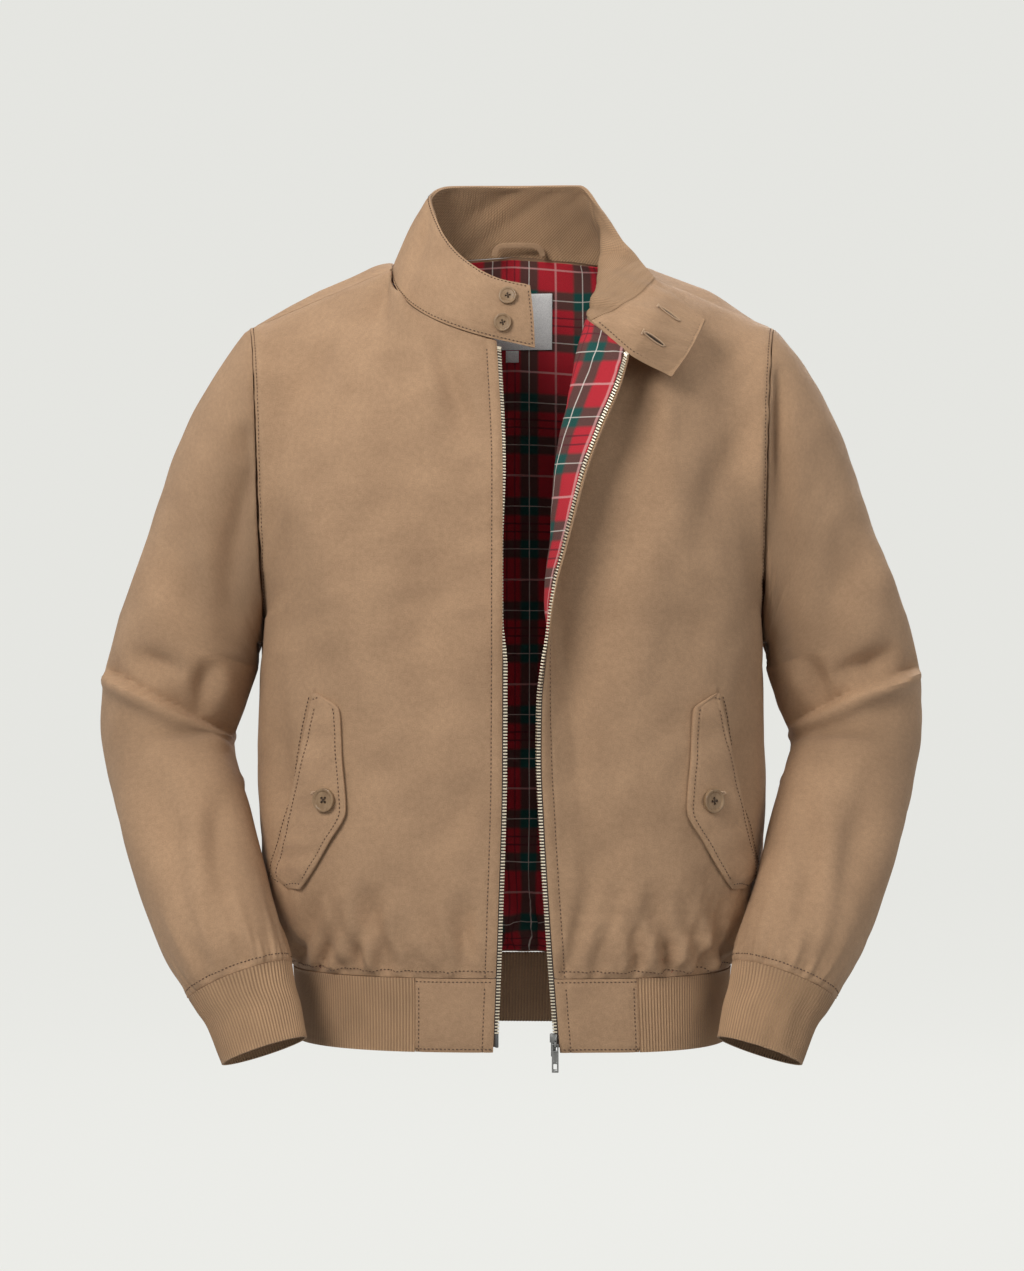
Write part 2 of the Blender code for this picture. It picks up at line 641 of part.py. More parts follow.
WOVEN = (TAN, 0.85, 0.0)
KNIT = (TAN_RIB, 0.9, 0.0)
CHECKED = (TARTAN_RED, 0.8, 0.0)
HORN_FINISH = (HORN, 0.4, 0.0)
BRASS_HORN = (HORN, 0.35, 0.0)
DARK_METAL = (GUNMETAL, 0.35, 1.0)
TEETH_FINISH = (BRASS_TEETH, 0.35, 1.0)
TAPE_FINISH = (DARK_TAPE, 0.9, 0.0)
LABEL_FINISH = (WHITE_CLOTH, 0.7, 0.0)


# ---------------------------------------------------------------- small parts

def box_mesh(mesh, low, high):
    """A box from its lowest and highest corners, added to a bmesh."""
    centre = [(a + b) / 2 for a, b in zip(low, high)]
    size = [b - a for a, b in zip(low, high)]
    place = Matrix.Translation(centre) @ Matrix.Diagonal((*size, 1))
    bmesh.ops.create_cube(mesh, size=1, matrix=place)


def button(name, centre, normal, radius, finish):
    """A round button with a raised rim and a dished middle."""
    mesh = bmesh.new()
    rings = []
    turns = [2 * math.pi * k / BUTTON_SEGMENTS for k in range(BUTTON_SEGMENTS)]
    for share, rise in BUTTON_PROFILE:
        height = rise * radius * BUTTON_HEIGHT
        if share == 0:
            rings.append([mesh.verts.new((0, 0, height))])
            continue
        rings.append([mesh.verts.new((share * radius * math.cos(turn), share * radius * math.sin(turn),
                                      height)) for turn in turns])
    for one, two in zip(rings, rings[1:]):
        for k in range(BUTTON_SEGMENTS):
            after = (k + 1) % BUTTON_SEGMENTS
            if len(one) == 1:
                mesh.faces.new((one[0], two[after], two[k]))
            elif len(two) == 1:
                mesh.faces.new((one[k], one[after], two[0]))
            else:
                mesh.faces.new((one[k], one[after], two[after], two[k]))
    turn = Vector((0, 0, 1)).rotation_difference(Vector(normal)).to_matrix().to_4x4()
    bmesh.ops.transform(mesh, matrix=Matrix.Translation(Vector(centre)) @ turn, verts=mesh.verts)
    return solid(name, mesh, finish)


# ---------------------------------------------------------------- the jacket

def build_shell():
    """Every cloth piece's points with the sign of its outer side, and its normals."""
    front_right = panel(RIGHT, FRONT_COLUMNS)
    front_left = roll(panel(LEFT, FRONT_COLUMNS))
    half_right = panel(RIGHT, BACK_COLUMNS, back=True)
    half_left = panel(LEFT, BACK_COLUMNS, back=True)
    back = np.concatenate([half_right, half_left[:, ::-1][:, 1:]], axis=1)
    collar, places = collar_grid(front_right, back, front_left)
    pieces = {
        "front_right": (front_right, 1), "front_left": (front_left, -1), "back": (back, -1),
        "sleeve_right": (sleeve_grid(RIGHT), 1), "sleeve_left": (sleeve_grid(LEFT), -1),
        "cuff_right": (cuff_grid(RIGHT), 1), "cuff_left": (cuff_grid(LEFT), -1),
        "collar": (collar, -1), "hem_rib": (hem_rib_grid(), -1),
        "hem_end_right": (hem_end_grid(RIGHT), 1), "hem_end_left": (hem_end_grid(LEFT), -1),
    }
    return pieces, shared_normals(pieces), places


def make_panels(pieces, normals):
    """The woven body and sleeves, and the knitted cuffs and hem band."""
    for name in ("front_right", "front_left", "back"):
        wall(name, trimmed(pieces[name][0], top=3 * SEAM_TRIM), normals[name], 0, -SHELL, WOVEN)
    for name in ("sleeve_right", "sleeve_left"):
        grid = trimmed(pieces[name][0], bottom=2 * SEAM_TRIM, first=0, last=0)
        wall(name, grid, normals[name], 0, -SHELL, WOVEN, closed=True)
    for name in ("cuff_right", "cuff_left"):
        grid = trimmed(pieces[name][0], first=0, last=0)
        wall(name, grid, normals[name], 0, -RIB, KNIT, closed=True)
    wall("hem_rib", trimmed(pieces["hem_rib"][0]), normals["hem_rib"], 0, -RIB, KNIT)
    for name in ("hem_end_right", "hem_end_left"):
        wall(name, trimmed(pieces[name][0]), normals[name], 0, -SHELL, WOVEN)


def make_linings(pieces, normals):
    """The checked lining, a layer inside the fronts and the back."""
    for name in ("front_right", "front_left", "back"):
        last = SEAM_TRIM if name == "back" else LINING_EDGE
        grid = trimmed(pieces[name][0], last=last, top=5 * SEAM_TRIM)
        wall("lining_" + name, grid, normals[name], -SHELL - GAP, -SHELL - GAP - LINING, CHECKED)


def make_collar(grid, normals, places):
    """The woven collar, its rib facing and the woven facings of its two ends."""
    wall("collar", trimmed(grid), normals, 0, -SHELL, WOVEN)
    first = int(np.argmin(abs(places - RIB_ENDS[0])))
    last = int(np.argmin(abs(places - RIB_ENDS[1])))
    over, under = -SHELL - GAP, -SHELL - GAP - SHELL
    for name, start, end, finish in (("collar_end_facing", 0, first, WOVEN),
                                     ("collar_rib", first, last, KNIT),
                                     ("collar_tab_facing", last, len(places) - 1, WOVEN)):
        part = slice(start, end + 1)
        wall(name, trimmed(grid[:, part]), normals[:, part], over, under, finish)


def make_pockets():
    """A flap on each front, sewn along its slanted side, and its button."""
    for side, word in ((RIGHT, "right"), (LEFT, "left")):
        shift = POCKET_SHIFT[side]
        rows = []
        for height, sewn, free in POCKET_FLAP:
            rows.append([on_trunk(side, mix(sewn, free, share) + shift, height)
                         for share in (0, 0.33, 0.67, 1)])
        grid = np.array(rows)[::-1]
        piece = {"flap": (grid, 1 if side == RIGHT else -1)}
        normal = shared_normals(piece)["flap"]
        wall("pocket_flap_" + word, grid, normal, FLAP_LIFT + FLAP, FLAP_LIFT, WOVEN)
        x, height = POCKET_BUTTON[side]
        point = on_trunk(side, x, height)
        ahead = on_trunk(side, x + 0.002, height) - on_trunk(side, x - 0.002, height)
        above = on_trunk(side, x, height + 0.002) - on_trunk(side, x, height - 0.002)
        out = np.cross(ahead, above)
        out *= -np.sign(out[1]) / np.linalg.norm(out)
        button("pocket_button_" + word, point + out * BUTTON_LIFT, out, POCKET_BUTTON_RADIUS, BRASS_HORN)


def collar_point(grid, places, place, share):
    """A point of the collar's outer face and its normal there."""
    column = int(np.searchsorted(places, place)) - 1
    part = (place - places[column]) / (places[column + 1] - places[column])
    rise = share * (len(grid) - 1)
    row = int(rise)
    a, b = grid[row, column], grid[row, column + 1]
    c, d = grid[row + 1, column + 1], grid[row + 1, column]
    up = rise - row
    point = mix(mix(a, b, part), mix(d, c, part), up)
    normal = np.cross(c - a, d - b)
    return point, -normal / np.linalg.norm(normal)


def make_collar_buttons(grid, places):
    """The two buttons on the collar's button end."""
    for name, (place, share) in COLLAR_BUTTONS.items():
        point, normal = collar_point(grid, places, place, share)
        button(name, point + normal * 2 * GAP, normal, COLLAR_BUTTON_RADIUS, HORN_FINISH)


def zip_rows(piece, hem):
    """Edge points of a front from the hem's bottom to the neck, with frames."""
    grid = np.concatenate([hem[:-1, -2:], piece[:, -2:]])
    edge = grid[:, 1]
    inwards = grid[:, 0] - edge
    inwards /= np.linalg.norm(inwards, axis=-1)[:, None]
    along = np.gradient(edge, axis=0)
    out = np.cross(inwards, along)
    out /= np.linalg.norm(out, axis=-1)[:, None]
    return edge, inwards, out


def make_zip(pieces):
    """Tape and chain along each front edge. Gives the foot of each chain."""
    feet = {}
    for side, word in ((RIGHT, "right"), (LEFT, "left")):
        edge, inwards, out = zip_rows(pieces["front_" + word][0], pieces["hem_end_" + word][0])
        out = out * side
        reach = table_at(CHAIN_REACH, edge[:, 2])[:, 0 if side == RIGHT else 1][:, None]
        tape_side = CHAIN_WIDTH / 2 + 2 * GAP - reach
        widths = (TAPE_EDGE - tape_side)[:, 0]
        middle = edge + inwards * (tape_side + TAPE_EDGE) / 2 - out * (SHELL + GAP + TAPE / 2)
        middle[-1] = mix(middle[-2], middle[-1], TAPE_TOP)
        middle[0] = mix(middle[0], middle[1], TAPE_TRIM)
        ribbon("zip_tape_" + word, middle, inwards, out, widths, TAPE, TAPE_FINISH)
        chain = edge - inwards * reach - out * (SHELL + GAP + CHAIN_DEPTH / 2)
        heights = chain[:, 2]
        above = heights > CHAIN_BOTTOM + CHAIN_WIDTH
        points = np.vstack([point_at(chain, heights, CHAIN_BOTTOM), chain[above]])
        points[-1] = mix(points[-2], points[-1], CHAIN_TOP)
        frames = [np.vstack([frame[0], frame[above]]) for frame in (inwards, out)]
        widths = [CHAIN_WIDTH] * len(points)
        ribbon("zip_teeth_" + word, points, *frames, widths, CHAIN_DEPTH, TEETH_FINISH)
        feet[side] = point_at(chain, heights, CHAIN_BOTTOM - GAP)
    return feet


def point_at(points, heights, height):
    """The point of a path at a height."""
    return np.array([np.interp(height, heights, points[:, k]) for k in range(3)])


def ribbon(name, points, sideways, outwards, widths, depth, finish):
    """A flat strip whose width changes along its points."""
    mesh = bmesh.new()
    rings = []
    for point, across, out, width in zip(points, sideways, outwards, widths):
        corners = [(-1, -1), (1, -1), (1, 1), (-1, 1)]
        rings.append([mesh.verts.new(point + across * a * width / 2 + out * b * depth / 2)
                      for a, b in corners])
    for one, two in zip(rings, rings[1:]):
        for k in range(4):
            mesh.faces.new((one[k], one[(k + 1) % 4], two[(k + 1) % 4], two[k]))
    mesh.faces.new(rings[0])
    mesh.faces.new(rings[-1])
    return solid(name, mesh, finish)


def make_pin(foot):
    """The pin at the foot of the right tape."""
    mesh = bmesh.new()
    half, depth = PIN_HALF
    box_mesh(mesh, foot - (half, depth, PIN_LENGTH), foot + (half, depth, 0))
    solid("zip_pin", mesh, DARK_METAL)


def make_slider(foot):
    """The slider with its bail, the box below it, and the pull tab that hangs on it."""
    mesh = bmesh.new()
    outline = [(x, -SLIDER_DEPTH, z) for x, z in SLIDER_OUTLINE]
    prism(mesh, outline, (0, 2 * SLIDER_DEPTH, 0), foot)
    slider = solid("zip_slider", mesh, DARK_METAL)
    face = foot[1] - SLIDER_DEPTH
    axis = np.array([foot[0], face - BAIL_GAP / 2 - PULL_BACK, foot[2] - PULL_DROP])
    bail = bmesh.new()
    path = ((BAIL_ROOT, BAIL_LOW), (-BAIL_GAP - BAIL_BAR, BAIL_LOW),
            (-BAIL_GAP - BAIL_BAR, BAIL_HIGH), (BAIL_ROOT, BAIL_HIGH),
            (BAIL_ROOT, BAIL_HIGH - BAIL_BAR), (-BAIL_GAP, BAIL_HIGH - BAIL_BAR),
            (-BAIL_GAP, BAIL_LOW + BAIL_BAR), (BAIL_ROOT, BAIL_LOW + BAIL_BAR))
    base = np.array([foot[0] - BAIL_HALF, face, axis[2]])
    prism(bail, [(0, y, z) for y, z in path], (2 * BAIL_HALF, 0, 0), base)
    arch = solid("slider_bail", bail, DARK_METAL)
    arch.hide_render = True
    arch.display_type = "WIRE"
    join = slider.modifiers.new("bail", "BOOLEAN")
    join.operation = "UNION"
    join.solver = "EXACT"
    join.object = arch
    top = min(z for _, z in SLIDER_OUTLINE) - GAP
    under = bmesh.new()
    low_corner = foot + (BOX_X[0], -BOX_DEPTH, top - BOX_HEIGHT)
    box_mesh(under, low_corner, foot + (BOX_X[1], BOX_DEPTH, top))
    solid("zip_box", under, DARK_METAL)
    make_pull(axis)


def prism(mesh, outline, depth, base):
    """A closed prism: an outline of points, pushed along depth, moved to base."""
    near = [mesh.verts.new(Vector(point) + Vector(base)) for point in outline]
    far = [mesh.verts.new(Vector(point) + Vector(depth) + Vector(base)) for point in outline]
    mesh.faces.new(near)
    mesh.faces.new(far[::-1])
    for k in range(len(outline)):
        after = (k + 1) % len(outline)
        mesh.faces.new((near[k], near[after], far[after], far[k]))


def make_pull(axis):
    """The pull tab: a crossbar, two legs past the bail, and a plate with a hole."""
    mesh = bmesh.new()
    grid = {}
    for row, height in enumerate(PULL_ROWS):
        hole = SLOT_HALF if row <= SLOT_ROW + 1 else HOLE_HALF
        for column, x in enumerate((-PULL_HALF, -hole, hole, PULL_HALF)):
            for layer, y in enumerate((-PULL_THICK / 2, PULL_THICK / 2)):
                grid[row, column, layer] = mesh.verts.new((x, y, height))

    def side(row, column, next_row, next_column):
        mesh.faces.new((grid[row, column, 0], grid[next_row, next_column, 0],
                        grid[next_row, next_column, 1], grid[row, column, 1]))

    last = len(PULL_ROWS) - 1
    for row in range(last):
        opened = row in (SLOT_ROW, HOLE_ROW)
        for column in range(3):
            if opened and column == 1:
                continue
            for layer in (0, 1):
                mesh.faces.new((grid[row, column, layer], grid[row, column + 1, layer],
                                grid[row + 1, column + 1, layer], grid[row + 1, column, layer]))
        for column in (0, 1, 2, 3) if opened else (0, 3):
            side(row, column, row + 1, column)
    for row in (0, last):
        for column in range(3):
            side(row, column, row, column + 1)
    for row in (SLOT_ROW, SLOT_ROW + 1, HOLE_ROW, HOLE_ROW + 1):
        side(row, 1, row, 2)
    pull = solid("zip_pull", mesh, DARK_METAL)
    pull.location = axis


def make_labels(back):
    """The blank label and size tab, on the inside of the back lining."""
    middle = len(BACK_COLUMNS) - 1
    for name, (low, high, left, right) in LABELS.items():
        rows = []
        for height in (low, (low + high) / 2, high):
            row = [inside_back(back, middle, x, height) for x in np.linspace(left, right, 5)]
            rows.append(row)
        grid = np.array(rows)
        ahead = np.broadcast_to((0.0, -1.0, 0.0), grid.shape)
        wall(name, grid, ahead, LABEL_LIFT, LABEL_LIFT + LABEL, LABEL_FINISH)


def inside_back(grid, middle, x, height):
    """The point of the back's faceted lining at an x and a height, near its middle."""
    row = np.array([[np.interp(height, grid[:, column, 2], grid[:, column, axis]) for axis in range(3)]
                    for column in range(middle - 3, middle + 4)])
    y = np.interp(x, row[:, 0], row[:, 1])
    return np.array([x, y - SHELL - GAP - LINING, height])


def make_hanger():
    """The hanger loop at the back neck, arched up from the neck seam."""
    points = np.array([(x, 0, height) for x, height in HANGER_LINE]) + HANGER_FOOT
    along = np.gradient(points, axis=0)
    along /= np.linalg.norm(along, axis=-1)[:, None]
    ahead = np.broadcast_to((0.0, 1.0, 0.0), points.shape)
    across = np.cross(along, ahead)
    widths = [HANGER_WIDTH] * len(points)
    ribbon("hanger_loop", points, across, ahead, widths, HANGER_THICK, WOVEN)


def main():
    for item in list(bpy.data.objects):
        bpy.data.objects.remove(item)
    pieces, normals, places = build_shell()
    make_panels(pieces, normals)
    make_linings(pieces, normals)
    make_collar(pieces["collar"][0], normals["collar"], places)
    make_collar_buttons(pieces["collar"][0], places)
    make_pockets()
    feet = make_zip(pieces)
    make_pin(feet[RIGHT])
    make_slider(feet[LEFT])
    make_labels(pieces["back"][0])
    make_hanger()


main()
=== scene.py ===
"""The looks of a harrington jacket that is filled out as when worn, with no wearer.

Metres, +Z up, +X to the wearer's left, -Y the front. Every cloth piece is a thin shell with a
fine surface on its own seam lines, with its creases and gathers, and UVs in metres of cloth.
"""
import math

import bmesh
import bpy
import numpy as np
from mathutils import Matrix, Vector


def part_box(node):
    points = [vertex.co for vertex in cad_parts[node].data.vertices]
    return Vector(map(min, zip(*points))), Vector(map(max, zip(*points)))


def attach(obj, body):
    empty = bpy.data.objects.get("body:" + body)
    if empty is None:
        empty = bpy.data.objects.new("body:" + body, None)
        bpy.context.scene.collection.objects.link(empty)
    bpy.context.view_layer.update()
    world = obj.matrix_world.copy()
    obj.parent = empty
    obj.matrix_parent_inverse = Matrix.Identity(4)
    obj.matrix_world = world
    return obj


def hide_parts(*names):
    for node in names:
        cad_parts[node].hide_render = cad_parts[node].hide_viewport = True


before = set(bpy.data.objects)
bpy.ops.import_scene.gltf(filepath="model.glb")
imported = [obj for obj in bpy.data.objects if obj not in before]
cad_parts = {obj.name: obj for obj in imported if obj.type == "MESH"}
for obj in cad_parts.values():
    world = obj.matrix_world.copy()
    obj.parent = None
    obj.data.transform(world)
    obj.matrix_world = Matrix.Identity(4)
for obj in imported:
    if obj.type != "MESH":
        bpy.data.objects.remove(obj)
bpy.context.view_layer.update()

RIGHT, LEFT = -1, 1
SIDES = ((RIGHT, "right"), (LEFT, "left"))
BODY, TAB = "jacket", "pull_tab"

# Thickness of the layers, and the gap that two pieces keep.
GAP, SEAM_TRIM = 0.0003, 0.0002
SHELL, LINING, RIB, FLAP = 0.0015, 0.0010, 0.0020, 0.0020
TAB_THICK = 2 * SHELL + GAP - 0.0003      # outer face to the stitched inner face of the tab

# Heights and landmarks of the body, for the left side: x is mirrored for the right.
HEM_BOTTOM = -0.6585
HEM_SEAM = -0.5970
UNDERARM_Z = -0.300
SIDE_Y = 0.005
SHOULDER_POINT = (0.227, 0.008, -0.050)
NECK_POINT = (0.104, 0.010, 0.003)
BACK_NECK = (0.0, 0.078, 0.019)
BACK_NECK_TURN = (0.100, 0.076, 0.012)
ARMHOLE_FRONT = 0.073
ARMHOLE_BACK = 0.072
SHOULDER_SHARE = 0.68        # part of a panel's width that ends in the shoulder seam
SHOULDER_RIDGE = 0.75        # how far the back rises behind the shoulder seam
CHEST_INSET = 0.014          # how far the chest draws in between hem and shoulder

# Front neckline: where it ends at the front edge and the point it turns by.
FRONT_NECK = {RIGHT: ((-0.104, -0.085, -0.045), (-0.0125, -0.085, -0.067)),
              LEFT: ((0.104, -0.035, -0.022), (0.067, -0.083, -0.046))}
LEFT_CORNER_DROP = 0.036     # the left neckline falls this far from its roll to its corner

# The body's cross-sections: height, half width, front reach, back reach, squareness.
TRUNK = (
    (-0.6600, 0.184, -0.125, 0.116, 2.3),
    (-0.5970, 0.188, -0.129, 0.119, 2.3),
    (-0.5880, 0.197, -0.131, 0.124, 2.3),
    (-0.5650, 0.207, -0.135, 0.129, 2.4),
    (-0.5200, 0.213, -0.138, 0.130, 2.5),
    (-0.4200, 0.2155, -0.138, 0.128, 2.6),
    (-0.3000, 0.2135, -0.134, 0.124, 2.8),
)

# The right front's edge: height, x.
RIGHT_EDGE = (
    (-0.660, -0.0155),
    (-0.550, -0.0115),
    (-0.420, -0.0080),
    (-0.180, -0.0075),
    (-0.067, -0.0125),
)

# The left front's edge rolls outwards: height, x of the edge, width of cloth that turns,
# the angles in degrees where the turn starts and ends, and its radius.
LEFT_ROLL = (
    (-0.660, 0.0395, 0.034, 0, 4, 0.010),
    (-0.560, 0.0321, 0.034, 0, 10, 0.010),
    (-0.465, 0.0264, 0.034, 0, 17, 0.010),
    (-0.418, 0.0247, 0.034, 0, 26, 0.010),
    (-0.370, 0.0256, 0.034, 0, 44, 0.010),
    (-0.342, 0.0282, 0.035, 1, 64, 0.010),
    (-0.318, 0.0310, 0.037, 2, 82, 0.010),
    (-0.297, 0.0333, 0.039, 3, 96, 0.010),
    (-0.272, 0.0377, 0.0413, 3, 107, 0.010),
    (-0.248, 0.0443, 0.044, 3, 116, 0.010),
    (-0.217, 0.0525, 0.0492, 4, 125, 0.0105),
    (-0.183, 0.0615, 0.0516, 6, 134, 0.011),
    (-0.147, 0.0746, 0.0557, 10, 142, 0.012),
    (-0.109, 0.0902, 0.0600, 25, 150, 0.013),
    (-0.082, 0.0975, 0.0502, 60, 150, 0.013),
)

# The sleeve below the armhole, for the right side: ring centre x, y, z, tilt and pitch of
# the ring in degrees, half width, and half depth to the front and to the back.
SLEEVE = (
    (-0.2780, 0.002, -0.3195, 21, 0, 0.0636, 0.062, 0.060),
    (-0.2900, 0.003, -0.3605, 14, 0, 0.0620, 0.060, 0.058),
    (-0.2963, 0.000, -0.3969, 4, 6, 0.0570, 0.057, 0.055),
    (-0.2912, -0.012, -0.4239, -8, 16, 0.0555, 0.055, 0.052),
    (-0.2766, -0.036, -0.4715, -15, 22, 0.0550, 0.052, 0.048),
    (-0.2593, -0.063, -0.5244, -16, 22, 0.0534, 0.050, 0.044),
    (-0.2424, -0.084, -0.5676, -17, 20, 0.0517, 0.047, 0.040),
    (-0.2257, -0.100, -0.6015, -20, 18, 0.0457, 0.036, 0.032),
)
CUFF = (
    (-0.2257, -0.100, -0.6015, -20, 18, 0.0457, 0.036, 0.032),
    (-0.2207, -0.106, -0.6150, -16, 17, 0.0425, 0.031, 0.029),
    (-0.2136, -0.112, -0.6285, -14, 16, 0.0398, 0.028, 0.027),
    (-0.2041, -0.124, -0.6569, -18, 15, 0.0369, 0.026, 0.025),
)
SLEEVE_CLEARANCE = 0.0045

# The collar from the button end (-1) round the back (0) to the buttonhole tab (1):
# place along it, then the points half way up it and at its top edge.
COLLAR = (
    (-1.00, 0.0180, -0.0880, -0.0470, 0.0151, -0.0800, -0.0200),
    (-0.90, -0.0115, -0.0850, -0.0400, -0.0100, -0.0750, -0.0143),
    (-0.72, -0.0520, -0.0640, -0.0215, -0.0423, -0.0520, 0.0067),
    (-0.55, -0.0760, -0.0330, 0.0030, -0.0615, -0.0220, 0.0340),
    (-0.35, -0.0890, 0.0130, 0.0360, -0.0715, 0.0150, 0.0660),
    (-0.20, -0.0660, 0.0520, 0.0470, -0.0560, 0.0420, 0.0780),
    (0.00, 0.0000, 0.0760, 0.0500, 0.0000, 0.0620, 0.0810),
    (0.20, 0.0660, 0.0500, 0.0470, 0.0590, 0.0400, 0.0785),
    (0.35, 0.0830, 0.0060, 0.0260, 0.0790, 0.0120, 0.0525),
    (0.50, 0.0760, -0.0300, -0.0040, 0.0975, -0.0220, 0.0185),
    (0.62, 0.0780, -0.0720, -0.0210, 0.1070, -0.0340, 0.0030),
    (0.70, 0.0980, -0.0860, -0.0370, 0.1201, -0.0500, -0.0145),
    (0.90, 0.1170, -0.1060, -0.0560, 0.1345, -0.0640, -0.0290),
    (1.00, 0.1480, -0.0960, -0.0770, 0.1618, -0.0750, -0.0523),
)
COLLAR_BACK_SHARE = 0.35     # the collar's place at each neck point
COLLAR_ROLL_SHARE = 0.62     # where the left front starts to roll
COLLAR_EDGE_SHARE = 0.90     # over each front edge; what follows is the end or the tab
END_BOTTOM = {RIGHT: (0.0192, -0.0890, -0.0743), LEFT: (0.1318, -0.1110, -0.1017)}
RIB_ENDS = (-0.80, 0.70)     # the rib facing runs between these, and woven cloth follows

# The woven ends of the hem band reach from the zip to these places.
HEM_END_X = {RIGHT: 0.0805, LEFT: 0.1035}

# Pocket flap: height, x of the sewn side and x of the free side, for the left side.
POCKET_FLAP = (
    (-0.3620, 0.1636, 0.1614),
    (-0.3665, 0.1646, 0.1532),
    (-0.3740, 0.1663, 0.1428),
    (-0.3790, 0.1674, 0.1414),
    (-0.4180, 0.1761, 0.1395),
    (-0.4577, 0.1850, 0.1365),
    (-0.4860, 0.1911, 0.1510),
    (-0.5140, 0.1972, 0.1672),
    (-0.5255, 0.1860, 0.1752),
)
POCKET_SHIFT = {RIGHT: 0.0, LEFT: 0.007}
POCKET_BUTTON = {RIGHT: (0.1530, -0.4502), LEFT: (0.1638, -0.4510)}
COLLAR_BUTTONS = {"collar_button_top": (-0.93, 0.70), "collar_button_low": (-0.915, 0.27)}

# Buttons.
POCKET_BUTTON_RADIUS = 0.0100
COLLAR_BUTTON_RADIUS = 0.0075
FLAP_LIFT = 0.0015
BUTTON_LIFT = 0.0041

# Blank labels: lowest and highest z, lowest and highest x.
LABELS = {"label": (-0.0610, -0.0125, -0.0355, 0.0355), "size_tab": (-0.0718, -0.0616, -0.0055, 0.0060)}
LABEL = 0.0008
LABEL_LIFT = 0.0012

# The hanger loop's middle line, from its first foot: x, height above the foot.
HANGER_FOOT = (0.0055, 0.0640, 0.0180)
HANGER_LINE = (
    (-0.0215, 0.0005),
    (-0.0195, 0.0075),
    (-0.0155, 0.0098),
    (0.0000, 0.0104),
    (0.0155, 0.0098),
    (0.0195, 0.0075),
    (0.0215, 0.0005),
)
HANGER_WIDTH, HANGER_THICK = 0.0050, 0.0014

# The slider's bail: its clear gap, bar and half width, and its ends below and above the pin.
BAIL_GAP, BAIL_BAR, BAIL_HALF = 0.0028, 0.0010, 0.0010
BAIL_LOW, BAIL_HIGH = -0.0024, 0.0030
SLOT_HALF, HOLE_HALF = 0.0016, 0.0015

# Zip: chain and tape, measured from the front edge and down from the face.
TAPE_EDGE = 0.0066
TAPE = 0.0008
CHAIN_WIDTH = 0.0040
CHAIN_DEPTH = 0.0024
CHAIN_BOTTOM = -0.6420
# How far the chain's middle stands past the front edge: height, right side, left side.
CHAIN_REACH = (
    (-0.660, 0.0022, 0.0024),
    (-0.340, 0.0024, 0.0024),
    (-0.300, -0.0012, -0.0010),
    (-0.240, -0.0014, -0.0030),
    (-0.180, 0.0006, -0.0034),
    (-0.060, 0.0018, -0.0034),
)

RIB_PITCH, RIB_DEPTH = 0.0027, 0.00058
FOLD_DEPTH = 3.3             # how deep every fold is made

# Where the check's pink lines fall: along the cloth and up the cloth, for each lining.
CHECK_SHIFT = {"back": (0.0010, -0.0075), "left": (0.0315, -0.0320), "right": (0.0300, 0.0200)}

